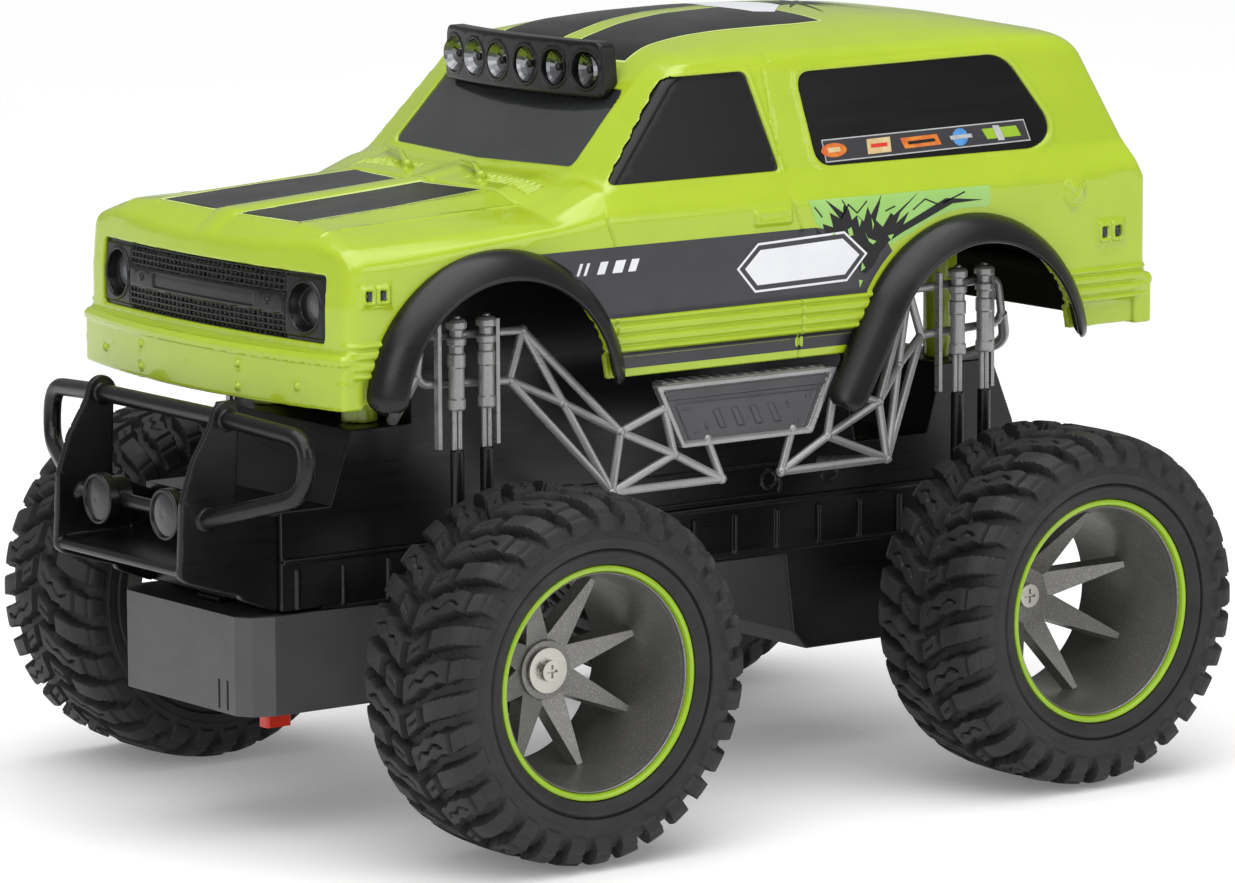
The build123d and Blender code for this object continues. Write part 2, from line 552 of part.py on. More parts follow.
def lower_form(inset):
    """Bonnet, wings and sides up to the belt line, as a solid."""
    profile = polygon((-145.0, 110), (-145.0, 168.5), (-141.0, 176.5), (48.8, 179.4), (129.5, 170.6),
                      (138.6, 163.8), (139.8, 159), (140.6, 110), inset=inset)
    section = polygon(*mirrored([(-65.0, 110), (-BODY_HALF, 140), (-BODY_HALF, CREASE_Z),
                                 (-60.2, 176.4), (-43.4, 178.2), (0, 181.0)]), inset=inset)
    nose = ThreePointArc((135.6, -65.0), (140.8, 0), (135.6, 65.0))
    tail = ThreePointArc((-135.0, 65.5), (-145.0, 0), (-135.0, -65.5))
    sides = [Polyline((135.6, 65.0), (118, BODY_HALF), (-118, BODY_HALF), (-135.0, 65.5)),
             Polyline((135.6, -65.0), (118, -BODY_HALF), (-118, -BODY_HALF), (-135.0, -65.5))]
    plan = make_face([nose, tail] + sides)
    plan = offset(plan, -inset, kind=Kind.INTERSECTION) if inset else plan
    form = side_prism(profile, -80, 80) & front_prism(section, -160, 160)
    return form & plan_prism(plan, 100, 190)


def cabin_outline(z, inset):
    """Plan of the cabin at a height. Its sides, windscreen and tail all lean inwards."""
    rise = (z - BELT_Z) / (EAVES_Z - BELT_Z)
    front = 53.4 - 30.4 * rise
    rear = -146.0 + 13.5 * rise
    side = 60.4 - 6.2 * rise
    half = [(front, 0), (front - 1.2, 44), (front - 5.5, side), (rear + 17, side), (rear + 9, side - 4),
            (rear + 2.5, 34)]
    points = half + [(rear, 0)] + [(x, -y) for x, y in reversed(half[1:])]
    return Plane.XY.offset(z) * polygon(*points, inset=inset)


def cabin_form(inset):
    top = 222.0
    walls = loft([cabin_outline(BELT_Z, inset), cabin_outline(top, inset)], ruled=True)
    arch = make_face([ThreePointArc((-64, 203.0 - inset), (0, 218.8 - inset), (64, 203.0 - inset)),
                      Polyline((64, 203.0 - inset), (64, 150), (-64, 150), (-64, 203.0 - inset))])
    ridge = Spline((24, 207.5 - inset), (0, 215.0 - inset), (-35, 218.8 - inset), (-100, 214.5 - inset),
                   (-150, 201.5 - inset))
    long_arch = make_face([ridge, Polyline((-150, 201.5 - inset), (-150, 150), (60, 150),
                                           (60, 208.0 - inset), (24, 207.5 - inset))])
    return walls & front_prism(arch, -160, 80) & side_prism(long_arch, -80, 80)


def body_form(inset):
    return lower_form(inset) + cabin_form(inset)


def arch_cut(radius):
    """The openings over the wheels, as solids that cross the whole body."""
    cuts = []
    for x, z in (FRONT_ARCH, REAR_ARCH):
        cuts.append(rod((x, -80, z), (x, 80, z), radius))
        cuts.append(block((x - radius, x + radius), (-80, 80), (90, z)))
    angle = radians(REAR_LEG_ANGLE)
    x, z = REAR_ARCH
    touch = (x + radius * cos(angle), z + radius * sin(angle))
    run = 60.0
    end = (touch[0] + run * sin(angle), touch[1] - run * cos(angle))
    cuts.append(side_prism(polygon((x, z), touch, end, (x, end[1])), -80, 80))
    return cuts


DOOR_WINDOW = [(46.5, 177.0), (22.5, 204.4), (-6.0, 204.4), (-14.3, 177.0)]
REAR_WINDOW = [(-27.8, 177.0), (-23.9, 202.9), (-100.8, 203.4), (-112.2, 179.6), (-108.5, 177.0)]
WINDSCREEN = mirrored([(-43.4, 179.8), (-42.0, 200.0)])
BACKLIGHT = mirrored([(-43.0, 179.5), (-39.0, 200.0)])
GRILLE = mirrored([(-55.5, 140.4), (-55.5, 158.6)])
HEADLAMP_Y, HEADLAMP_Z = 47.4, 150.0
GLASS_SET = 0.6


def window_cuts():
    return {
        "side_windows": Part() + [
            side_prism(polygon(*outline), low, low + 32)
            for outline in (DOOR_WINDOW, REAR_WINDOW) for low in (-80, 48)],
        "windscreen": front_prism(polygon(*WINDSCREEN), 18, 60),
        "rear_window": front_prism(polygon(*BACKLIGHT), -155, -118),
    }


def build_body():
    outer, inner = body_form(0.0), body_form(SHELL)
    bumper_front = make_face([ThreePointArc((137.2, -64.9), (145.4, 0), (137.2, 64.9)),
                              ThreePointArc((131.0, 64.9), (137.0, 0), (131.0, -64.9)),
                              Line((137.2, 64.9), (131.0, 64.9)), Line((137.2, -64.9), (131.0, -64.9))])
    bumper_rear = make_face([ThreePointArc((-139.0, -65.2), (REAR_X, 0), (-139.0, 65.2)),
                             ThreePointArc((-132.0, 65.2), (-142.6, 0), (-132.0, -65.2)),
                             Line((-139.0, 65.2), (-132.0, 65.2)), Line((-139.0, -65.2), (-132.0, -65.2))])
    shell = outer - inner
    shell -= block((-160, 160), (-80, 80), (90, SILL_Z))
    shell += [plan_prism(bumper_front, 122.7, 138.0), plan_prism(bumper_rear, 123.4, 138.2)]
    shell -= arch_cut(ARCH_CUT)
    windows = window_cuts()
    shell -= list(windows.values())
    grille_cut = front_prism(polygon(*GRILLE), 128, 150)
    shell -= grille_cut
    inside = body_form(SHELL / 2)
    shelves, bosses = [], []
    for x in (POST_X, -POST_X):
        shelves.append(block((x - 9, x + 9), (-70, 70), (160.5, 162.5)) & inside)
        for y in (POST_Y, -POST_Y):
            boss = rod((x, y, TOWER_TOP), (x, y, 162), 5.0)
            bosses.append(boss - rod((x, y, TOWER_TOP - 1), (x, y, 124), 1.5))
    shell += shelves
    shell += bosses
    save("body_shell", shell)

    pane_zone = body_form(GLASS_SET) - inner
    for name, cut in windows.items():
        save(name, *(cut & pane_zone).solids())

    back = (lower_form(1.0) - lower_form(3.4)) & grille_cut
    lamp_bores = [rod((120, side * HEADLAMP_Y, HEADLAMP_Z), (150, side * HEADLAMP_Y, HEADLAMP_Z), 6.0)
                  for side in (-1, 1)]
    grooves = []
    for row in range(6):
        z = 142.6 + row * 2.6
        grooves.append(block((136.6, 150), (-39, 39), (z, z + 1.5)))
    slots = (lower_form(0.5) - lower_form(2.0)) & (Part() + grooves)
    save("grille", back - lamp_bores - slots)
    lenses = [rod((133.4, side * HEADLAMP_Y, HEADLAMP_Z), (136.6, side * HEADLAMP_Y, HEADLAMP_Z), 5.9)
              for side in (-1, 1)]
    save("headlamps", *lenses)


def flare(centre, start, sweep_angle, leg):
    """A wheel-arch flare on the left side: a bent lip round the arch, with an optional straight leg."""
    section = polygon((39.9, BODY_HALF), (FLARE_OUTER, BODY_HALF), (40.8, 70.2), (36.2, 74.4),
                      (34.7, 74.4), (34.7, 73.0), (38.6, 69.2))
    face = Plane.XZ * section
    arc = revolve(face, Axis.Z, revolution_arc=sweep_angle)
    place = Pos(centre[0], 0, centre[1]) * Rot(-90, 0, 0)
    lip = place * Rot(0, 0, -(start + sweep_angle)) * arc
    if leg:
        angle = radians(start)
        end_face = place * Rot(0, 0, -start) * face
        lip += extrude(end_face, leg, dir=(sin(angle), 0, -cos(angle)))
    return lip


def build_flares():
    front = flare(FRONT_ARCH, 4.0, 170.0, 0)
    rear = flare(REAR_ARCH, REAR_LEG_ANGLE, 142.0, REAR_LEG_LENGTH)
    save("front_flares", *pair(front))
    save("rear_flares", *pair(rear))


LIGHT_BAR_LAMPS = (6.7, 19.2, 31.5)
LIGHT_BAR_Z = 205.6
LIGHT_BAR_BOW = 171.0


def build_light_bar():
    """Bowed lamp bar that stands over the windscreen's top edge on two feet."""
    face = front_prism(polygon(*mirrored([(-38.0, 198.2), (-33.5, 213.4)])), 15, 45)
    front_x = 35.4
    ring = Pos(front_x - LIGHT_BAR_BOW, 0, 205) * (
        Cylinder(LIGHT_BAR_BOW, 30) - Cylinder(LIGHT_BAR_BOW - 7.0, 30))
    bar = face & ring
    bar -= cabin_form(0)
    lamp_y = [side * y for side in (-1, 1) for y in LIGHT_BAR_LAMPS]
    cups, bores = [], []
    for y in lamp_y:
        lamp_x = front_x - y * y / (2 * LIGHT_BAR_BOW)
        bores.append(rod((lamp_x - 3.5, y, LIGHT_BAR_Z), (lamp_x + 3, y, LIGHT_BAR_Z), 5.0))
        cup = rod((lamp_x - 3.5, y, LIGHT_BAR_Z), (lamp_x - 0.7, y, LIGHT_BAR_Z), 5.0)
        cups.append(cup - Pos(lamp_x + 1.6, y, LIGHT_BAR_Z) * Sphere(4.7))
    save("light_bar", bar - bores)
    save("light_bar_lamps", *cups)


build_wheels()
build_front_axle()
build_knuckles()
build_rack()
build_steering_servo()
build_rear_axle()
build_gear_train()
build_chassis()
build_battery()
build_bull_bar()
build_side_frames()
build_side_plates()
build_shocks()
build_body()
build_flares()
build_light_bar()
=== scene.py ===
import math
import bpy
import numpy as np
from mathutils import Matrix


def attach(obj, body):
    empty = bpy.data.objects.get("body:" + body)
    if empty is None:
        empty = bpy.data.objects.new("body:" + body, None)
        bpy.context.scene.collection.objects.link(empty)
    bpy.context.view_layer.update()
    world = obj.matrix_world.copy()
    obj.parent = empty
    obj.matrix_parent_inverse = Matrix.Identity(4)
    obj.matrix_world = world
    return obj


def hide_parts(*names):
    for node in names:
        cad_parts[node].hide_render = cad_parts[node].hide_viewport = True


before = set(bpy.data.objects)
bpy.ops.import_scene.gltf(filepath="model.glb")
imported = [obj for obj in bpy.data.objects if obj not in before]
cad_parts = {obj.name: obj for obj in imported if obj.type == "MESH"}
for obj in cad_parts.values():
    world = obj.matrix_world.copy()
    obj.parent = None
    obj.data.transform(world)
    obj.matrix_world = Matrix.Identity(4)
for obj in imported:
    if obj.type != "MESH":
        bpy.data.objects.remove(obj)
import openvdb as vdb
from mathutils import Matrix, Vector
from mathutils.geometry import delaunay_2d_cdt

# Looks for the remote control monster truck. Shapes are drawn in millimetres, with X measured from
# the middle of the wheelbase, and laid() moves them into the part's frame.
AXLE_SHIFT = np.array((-9.9, 0.0, 0.0))
AXLE_X, AXLE_Z, WHEEL_Y = 88.0, 50.8, 92.65
EASED_EDGE = 0.00012
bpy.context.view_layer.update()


# Meshes from arrays

def pick(full):
    return full


def laid(points):
    return (np.asarray(points, float) + AXLE_SHIFT) * 0.001


def mesh_object(name, points, faces, material, normals=None):
    """An object from points in the part's frame, in metres, and arrays of faces of equal size."""
    mesh = bpy.data.meshes.new(name)
    mesh.vertices.add(len(points))
    mesh.vertices.foreach_set("co", np.asarray(points, np.float32).ravel())
    faces = [np.asarray(f, np.int32) for f in faces if len(f)]
    corners = np.concatenate([f.ravel() for f in faces])
    sizes = np.concatenate([np.full(len(f), f.shape[1]) for f in faces])
    mesh.loops.add(len(corners))
    mesh.loops.foreach_set("vertex_index", corners)
    mesh.polygons.add(len(sizes))
    mesh.polygons.foreach_set("loop_start", (np.cumsum(sizes) - sizes).astype(np.int32))
    mesh.update(calc_edges=True)
    mesh.polygons.foreach_set("use_smooth", np.ones(len(sizes), bool))
    if normals is not None:
        mesh.normals_split_custom_set_from_vertices(np.asarray(normals, np.float32))
    mesh.materials.append(material)
    made = bpy.data.objects.new(name, mesh)
    bpy.context.scene.collection.objects.link(made)
    return made


def grid_faces(rows, columns, turns):
    """Quads between the rows of a grid of points that is closed across, and closed along when it turns."""
    i, j = np.meshgrid(np.arange(rows if turns else rows - 1), np.arange(columns), indexing="ij")
    near, far = i * columns, (i + 1) % rows * columns
    across = (j + 1) % columns
    return np.stack([v.ravel() for v in (near + j, near + across, far + across, far + j)], 1)


def joined(name, pieces):
    """One object from several of them."""
    with bpy.context.temp_override(active_object=pieces[0], selected_editable_objects=pieces):
        if len(pieces) > 1:
            bpy.ops.object.join()
    pieces[0].name = name
    return pieces[0]


def on(made, body, slot, *nodes):
    """The piece rides on a body and stands for CAD nodes, which it hides; the slot is not used."""
    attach(made, body)
    if nodes:
        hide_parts(*nodes)
    return made


def fitted(slot, made, *nodes):
    """The piece is a fixed one, on the chassis."""
    return on(made, "chassis", slot, *nodes)


# Distance fields

def smin(a, b, k):
    h = np.clip(0.5 + 0.5 * (b - a) / k, 0, 1)
    return b + (a - b) * h - k * h * (1 - h)


def smax(a, b, k):
    return -smin(-a, -b, k)


def box2(a, b, centre, half, corner=0.3):
    qa, qb = np.abs(a - centre[0]) - half[0] + corner, np.abs(b - centre[1]) - half[1] + corner
    return np.hypot(np.maximum(qa, 0), np.maximum(qb, 0)) + np.minimum(np.maximum(qa, qb), 0) - corner


def box3(x, y, z, centre, half, corner=0.3):
    q = [np.abs(v - c) - h + corner for v, c, h in zip((x, y, z), centre, half)]
    outside = np.sqrt(sum(np.maximum(v, 0) ** 2 for v in q))
    return outside + np.minimum(np.maximum(np.maximum(q[0], q[1]), q[2]), 0) - corner


def convex2(a, b, points, k):
    """Distance to a convex outline, with its corners rounded by k."""
    centre = np.mean(points, axis=0)
    found = None
    for p, q in zip(points, points[1:] + points[:1]):
        n = np.array((q[1] - p[1], p[0] - q[0])) / math.dist(p, q)
        if n @ (centre - p) > 0:
            n = -n
        edge = n[0] * (a - p[0]) + n[1] * (b - p[1])
        found = edge if found is None else smax(found, edge, k)
    return found


def segment(point, p, q):
    """Distance from a straight line between two points, in two or three coordinates."""
    way, off = [b - a for a, b in zip(p, q)], [v - a for v, a in zip(point, p)]
    t = np.clip(sum(o * w for o, w in zip(off, way)) / sum(w * w for w in way), 0, 1)
    return np.sqrt(sum((o - t * w) ** 2 for o, w in zip(off, way)))


def line2(a, b, p, q):
    return segment((a, b), p, q)


def path2(a, b, points):
    return np.minimum.reduce([line2(a, b, p, q) for p, q in zip(points, points[1:])])


def raised(distance, height, edge=0.6):
    """Relief inside an outline, with a sloping edge."""
    t = np.clip(0.5 - distance / edge, 0, 1)
    return height * t * t * (3 - 2 * t)


def groove(distance, depth, width):
    return -raised(distance - width / 2, depth, 0.5)


class Chart:
    """Heights over two coordinates, kept in a table and read between its entries."""

    def __init__(self, low, high, step, heights, soften=0.0):
        self.low, self.step = low, step
        a, b = (np.arange(l, h + step, step) for l, h in zip(low, high))
        values = heights(a[:, None], b[None, :]) + np.zeros((len(a), len(b)))
        if soften:
            reach = int(3 * soften / step) + 1
            weights = np.exp(-0.5 * (np.arange(-reach, reach + 1) * step / soften) ** 2)
            weights /= weights.sum()
            for axis in (0, 1):
                spread = [(reach, reach) if i == axis else (0, 0) for i in (0, 1)]
                padded, n = np.pad(values, spread, mode="edge"), values.shape[axis]
                values = sum(w * np.take(padded, range(i, i + n), axis) for i, w in enumerate(weights))
        self.values = values

    def __call__(self, a, b):
        u = np.clip((a - self.low[0]) / self.step, 0, self.values.shape[0] - 1.001)
        v = np.clip((b - self.low[1]) / self.step, 0, self.values.shape[1] - 1.001)
        i, j = u.astype(int), v.astype(int)
        fu, fv = u - i, v - j
        t = self.values
        return ((t[i, j] * (1 - fu) + t[i + 1, j] * fu) * (1 - fv)
                + (t[i, j + 1] * (1 - fu) + t[i + 1, j + 1] * fu) * fv)


def slope(field, points, reach):
    """The field's normals at points."""
    found = []
    for axis in range(3):
        step = np.zeros(3)
        step[axis] = reach
        found.append(field(*(points + step).T) - field(*(points - step).T))
    found = np.stack(found, 1)
    return found / np.maximum(np.linalg.norm(found, axis=1, keepdims=True), 1e-9)


def carved(name, field, low, high, step, material, adaptivity=0.0, reach=0.2):
    """The surface where a field is zero, with vertices brought on to it and normals from its slope."""
    low = np.array(low, float)
    axes = [np.arange(l, h + step, step) for l, h in zip(low, high)]
    shape = [len(v) for v in axes]
    values = np.empty(shape, np.float32)
    for start in range(0, shape[0], 64):
        part = axes[0][start:start + 64]
        values[start:start + 64] = field(part[:, None, None], axes[1][None, :, None], axes[2][None, None, :])
    np.clip(values, -3 * step, 3 * step, out=values)
    grid = vdb.FloatGrid(3 * step)
    grid.copyFromArray(values)
    points, triangles, quads = grid.convertToPolygons(isovalue=0.0, adaptivity=adaptivity)
    rough = points.astype(float) * step + low
    points = rough.copy()
    for _ in range(3):
        points -= slope(field, points, 0.05) * field(*points.T)[:, None] * 0.8
        points = rough + np.clip(points - rough, -0.7 * step, 0.7 * step)
    normals = slope(field, points, reach)
    return mesh_object(name, laid(points), [triangles, quads], material, normals)


def turned(name, profile, axis_point, direction, material, sides=48):
    """A closed profile of (radius, along) pairs turned about an axis."""
    profile = np.array(profile, float)
    direction = np.array(direction, float) / np.linalg.norm(direction)
    side = np.cross(direction, (0.3, 0.2, 1.0) if abs(direction[2]) < 0.9 else (1.0, 0, 0))
    side /= np.linalg.norm(side)
    other = np.cross(direction, side)
    angles = np.arange(sides) * 2 * math.pi / sides
    ring = np.cos(angles)[:, None] * side + np.sin(angles)[:, None] * other
    points = profile[None, :, :1] * ring[:, None, :] + profile[None, :, 1:] * direction
    made = mesh_object(name, laid(points.reshape(-1, 3) + np.array(axis_point)),
                       [grid_faces(sides, len(profile), True)[:, ::-1]], material)
    return crisp(made, EASED_EDGE)


def turned_pair(name, profile, x, y, z, material, sides):
    """The same turned piece on both sides of the car, along +X."""
    return joined(name, [turned(name, profile, (x, k * y, z), (1, 0, 0), material, sides) for k in (-1, 1)])


def crisp(made, width, angle=32.0, segments=2):
    """Small rounded edges where faces meet at an angle."""
    weld = made.modifiers.new("weld", "WELD")
    weld.merge_threshold = 1e-6
    bevel = made.modifiers.new("edges", "BEVEL")
    bevel.width, bevel.segments, bevel.limit_method = width, segments, "ANGLE"
    bevel.angle_limit = math.radians(angle)
    bevel.harden_normals = False
    bevel.miter_outer = "MITER_ARC"
    smooth = made.modifiers.new("normals", "WEIGHTED_NORMAL")
    smooth.keep_sharp = True
    return made


# Materials

def colour(code):
    """Linear values of a hexadecimal sRGB colour."""
    values = [int(code[i:i + 2], 16) / 255 for i in (0, 2, 4)]
    return [((v + 0.055) / 1.055) ** 2.4 if v > 0.04 else v / 12.92 for v in values] + [1.0]


def finish_of(name, base, other, rough, metal=0.0, coat=0.0, grain=900.0, bump=0.04, patch=60.0,
              spread=0.08, fleck=None, grain_depth=0.00004, specular=0.5):
    """A procedural finish from sRGB codes: patchy colour, uneven roughness with fine scratches, and grain."""
    material = bpy.data.materials.new(name)
    material.use_nodes = True
    nodes, link = material.node_tree.nodes, material.node_tree.links.new

    def filled_in(made, values):
        for key, value in values.items():
            made.inputs[key].default_value = value
        return made

    def node(kind, values):
        return filled_in(nodes.new(f"ShaderNode{kind}"), values)

    shader = filled_in(nodes["Principled BSDF"], {"Metallic": metal, "Specular IOR Level": specular,
                                                  "Coat Weight": coat, "Coat Roughness": 0.06})
    place = node("TexCoord", {}).outputs["Object"]

    def noise(scale, detail, vector=place, roughness=0.55):
        made = node("TexNoise", {"Scale": scale, "Detail": detail, "Roughness": roughness})
        link(vector, made.inputs["Vector"])
        return made.outputs["Fac"]

    def ramp(source, low, high, start, end):
        made = node("ValToRGB", {})
        for element, position, shade in zip(made.color_ramp.elements, (low, high), (start, end)):
            element.position, element.color = position, shade
        link(source, made.inputs["Fac"])
        return made.outputs["Color"]

    shade = ramp(noise(patch, 4.0), 0.3, 0.7, colour(base), colour(other))
    if fleck:
        mix = nodes.new("ShaderNodeMix")
        mix.data_type = "RGBA"
        link(ramp(noise(grain * 2.2, 1.0), 0.58, 0.7, (0, 0, 0, 1), (1, 1, 1, 1)), mix.inputs["Factor"])
        link(shade, mix.inputs["A"])
        mix.inputs["B"].default_value = colour(fleck)
        shade = mix.outputs["Result"]
    link(shade, shader.inputs["Base Color"])

    stretch = node("Mapping", {"Scale": (0.35, 1.0, 6.0)})
    link(place, stretch.inputs["Vector"])
    gloss = node("MapRange", {"From Min": 0.3, "From Max": 0.75, "To Min": max(0.02, rough - spread / 2),
                              "To Max": rough + spread / 2})
    link(noise(90.0, 8.0, stretch.outputs["Vector"], 0.5), gloss.inputs["Value"])
    link(gloss.outputs["Result"], shader.inputs["Roughness"])

    relief = node("Bump", {"Strength": min(1.0, bump * 10), "Distance": grain_depth})
    link(noise(grain, 3.0), relief.inputs["Height"])
    link(relief.outputs["Normal"], shader.inputs["Normal"])
    return material


LIME = finish_of("lime", "ABC328", "A5BD24", 0.22, coat=0.4, grain=260, bump=0.015)
# Very dark olive for the shell's inner faces: painted shade for the unlit inside of the body.
PAINTED_SHADE_INSIDE = finish_of("lime_inside_painted_shade", "14170A", "1B1F0E", 0.8, grain=900, specular=0.12)
TRIM = finish_of("trim_green", "96BC22", "8DB21D", 0.33, coat=0.2, grain=500)
BLACK = finish_of("black_plastic", "0B0B0C", "101011", 0.3, grain=1400, bump=0.03, specular=0.4)
GREY = finish_of("grey_plastic", "434345", "4C4C4E", 0.42, grain=1500, bump=0.06)
RIM = finish_of("rim_grey", "747370", "82817D", 0.34, metal=0.6, grain=1800, fleck="B4B2AC")
GUNMETAL = finish_of("gunmetal", "929292", "A0A0A0", 0.3, metal=0.5, grain=1800, fleck="B4B2AC")
PANEL = finish_of("plate_panel", "4A4A4D", "545457", 0.4, metal=0.3, grain=1800)
RUBBER = finish_of("rubber", "1C1C1D", "262627", 0.62, grain=1100, bump=0.09, patch=120,
                   spread=0.16, grain_depth=0.00008, specular=0.4)
STEEL = finish_of("steel", "B4B1AA", "C6C3BC", 0.28, metal=1.0, grain=2500)
WHITE_GEAR = finish_of("white_gear", "D9D6CB", "E4E2DA", 0.4, grain=1500)
BRASS = finish_of("brass", "B58A45", "C49A55", 0.3, metal=1.0, grain=2000)
SCREEN = finish_of("dark_glazing", "2A2B2D", "323335", 0.12, coat=0.6, grain=60, bump=0.004)
SIDE_GLASS = finish_of("side_glazing", "070707", "0A0A0A", 0.2, grain=60, bump=0.004, specular=0.3)
LENS = finish_of("lamp_glass", "47484B", "56575A", 0.3, coat=0.15, grain=700)
DARK_LENS = finish_of("auxiliary_lamp_glass", "222225", "2C2C30", 0.3, coat=0.15, grain=700)
CHROME = finish_of("chrome", "77787B", "909194", 0.22, metal=1.0, grain=2500)
RED = finish_of("red_plastic", "D22A12", "DD3418", 0.35, grain=1500)
WRAP = finish_of("cell_wrap", "2C5A8C", "35659A", 0.4, grain=1500)
LAMINATE = finish_of("circuit_laminate", "1F5B34", "27693E", 0.45, grain=1800)
DECAL_BLACK = finish_of("decal_black", "0D0D0E", "131314", 0.3, grain=300, bump=0.01, specular=0.35)
SIDE_BLACK = finish_of("decal_charcoal", "26262A", "303035", 0.32, coat=0.15, grain=300, bump=0.01)
DECAL_WHITE = finish_of("decal_white", "E9EAEE", "DFE0E6", 0.32, grain=300, bump=0.01)
OUTLINE = finish_of("decal_outline", "D4E58C", "C8DC7A", 0.3, grain=300, bump=0.01)
PATCH = finish_of("decal_pale_green", "9FCB72", "8DC25C", 0.32, grain=300, bump=0.01, patch=40)
ORANGE = finish_of("decal_orange", "E08A22", "C8501A", 0.35, grain=400, patch=300)
CREAM = finish_of("decal_cream", "D9C79A", "C9A56C", 0.35, grain=400, patch=300)
BLUE = finish_of("decal_blue", "3C7FC4", "5B9BD8", 0.35, grain=400, patch=300)
SILVER = finish_of("decal_silver", "BFC0C2", "A5A6A8", 0.35, grain=400, patch=300)

NODE_FINISH = [
    (BLACK, 0.0005, "chassis_tub chassis_deck"), (BLACK, 0.0004, "front_axle_beams rear_axle_tubes"),
    (BLACK, 0.0003, "left_knuckle right_knuckle"), (GUNMETAL, 0.0, "left_side_frame right_side_frame"),
    (RIM, 0.0003, "front_left_rim front_right_rim rear_left_rim rear_right_rim"),
    (GREY, 0.0002, "gearbox_plates"), (GREY, 0.0003, "steering_servo"), (GREY, 0.0006, "battery_case"),
    (STEEL, 0.0003, "drive_motor"), (STEEL, 0.0002, "kingpins body_screws"),
    (STEEL, 0.00015, "rear_wheel_screws"), (STEEL, 0.00012, "left_wheel_screw right_wheel_screw"),
    (STEEL, 0.0001, "left_stub_axle right_stub_axle rear_axle_shaft counter_shaft rotor_shaft"),
    (WHITE_GEAR, 0.0001, "steering_rack steering_gear"), (WHITE_GEAR, 0.00005, "axle_gear counter_gear"),
    (BRASS, 0.0002, "rear_axle_bushings"), (BRASS, 0.0001, "battery_contacts"),
    (BRASS, 0.00005, "motor_pinion"), (WRAP, 0.0004, "battery_cells"), (RED, 0.0002, "battery_release"),
    (LAMINATE, 0.0001, "circuit_board"),
]
for material, width, names in NODE_FINISH:
    for node in (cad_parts[name] for name in names.split()):
        node.data.materials.clear()
        node.data.materials.append(material)
        if width:
            crisp(node, width)


# Body shape

SECTION_Y = (0, 3, 5, 36, 48, 54, 61, 66, 70)
SECTION_X = (-150, 49, 66, 131, 141, 150)
SECTIONS = np.array((
    (176.6, 176.6, 176.6, 176.6, 176.6, 176.4, 175.2, 168.6, 160),
    (178.8, 178.8, 178.6, 178.3, 177.6, 177.0, 175.2, 168.6, 160),
    (175.8, 175.7, 175.0, 175.0, 171.4, 170.3, 168.7, 167.0, 158),
    (171.6, 171.5, 170.8, 170.7, 169.7, 168.0, 165.7, 161.0, 154),
    (163.6, 163.5, 163.2, 163.2, 163.6, 163.6, 162.4, 158.0, 151),
    (158.0, 158.0, 158.0, 158.0, 158.0, 158.0, 157.0, 153.0, 148),
), float)
FRONT_ARCH, REAR_ARCH = (88.0, 120.5), (-78.0, 118.0)
HEAD_X, HEAD_Y, HEAD_Z = 133.8, 46.8, 149.4
WALL = 2.0
DOOR_WINDOW = [(45.0, 176.6), (20.8, 204.4), (-6.0, 204.6), (-14.3, 176.6)]
REAR_WINDOW = [(-27.8, 176.8), (-23.6, 203.2), (-99.6, 204.0), (-114.8, 182.6), (-110.6, 176.6)]
FRONT_DOOR_LINE = [(50.3, 178.0), (50.3, 168.6), (47.6, 161.5), (47.6, 120.0)]
REAR_DOOR_LINE = [(-12.5, 205.0), (-14.6, 176.5), (-14.2, 168.6), (-17.2, 161.5), (-17.2, 120.0)]
MARKERS = ((127.0, 153.2, 0.85), (-131.2, 150.9, 1.0))
MARKER_LAMPS = [(cx + offset * size, cz + 0.3, size) for cx, cz, size in MARKERS for offset in (-2.6, 2.6)]


def sections(x, y):
    columns = [np.interp(x[:, 0], SECTION_X, SECTIONS[:, k]) for k in range(len(SECTION_Y))]
    rows = np.stack(columns, 1)
    return np.stack([np.interp(y[0], SECTION_Y, row) for row in rows])


def lower_top(x, y):
    panel = box2(x, y, (99, 20.2), (33.5, 15.0), 1.0)
    cowl = np.minimum.reduce([box2(x, y, (58.3, c), (2.6, 0.7), 0.5) for c in np.arange(14, 44, 2.6)])
    edge = line2(x, y, (133.0, 48.6), (67.0, 46.6))
    shut = line2(x, y, (66.5, 0), (66.5, 46))
    return (groove(cowl, 0.8, 0.1) + groove(shut, 0.45, 0.7) + raised(edge - 0.4, 0.25, 1.2)
            - raised(panel, 0.2, 0.8))


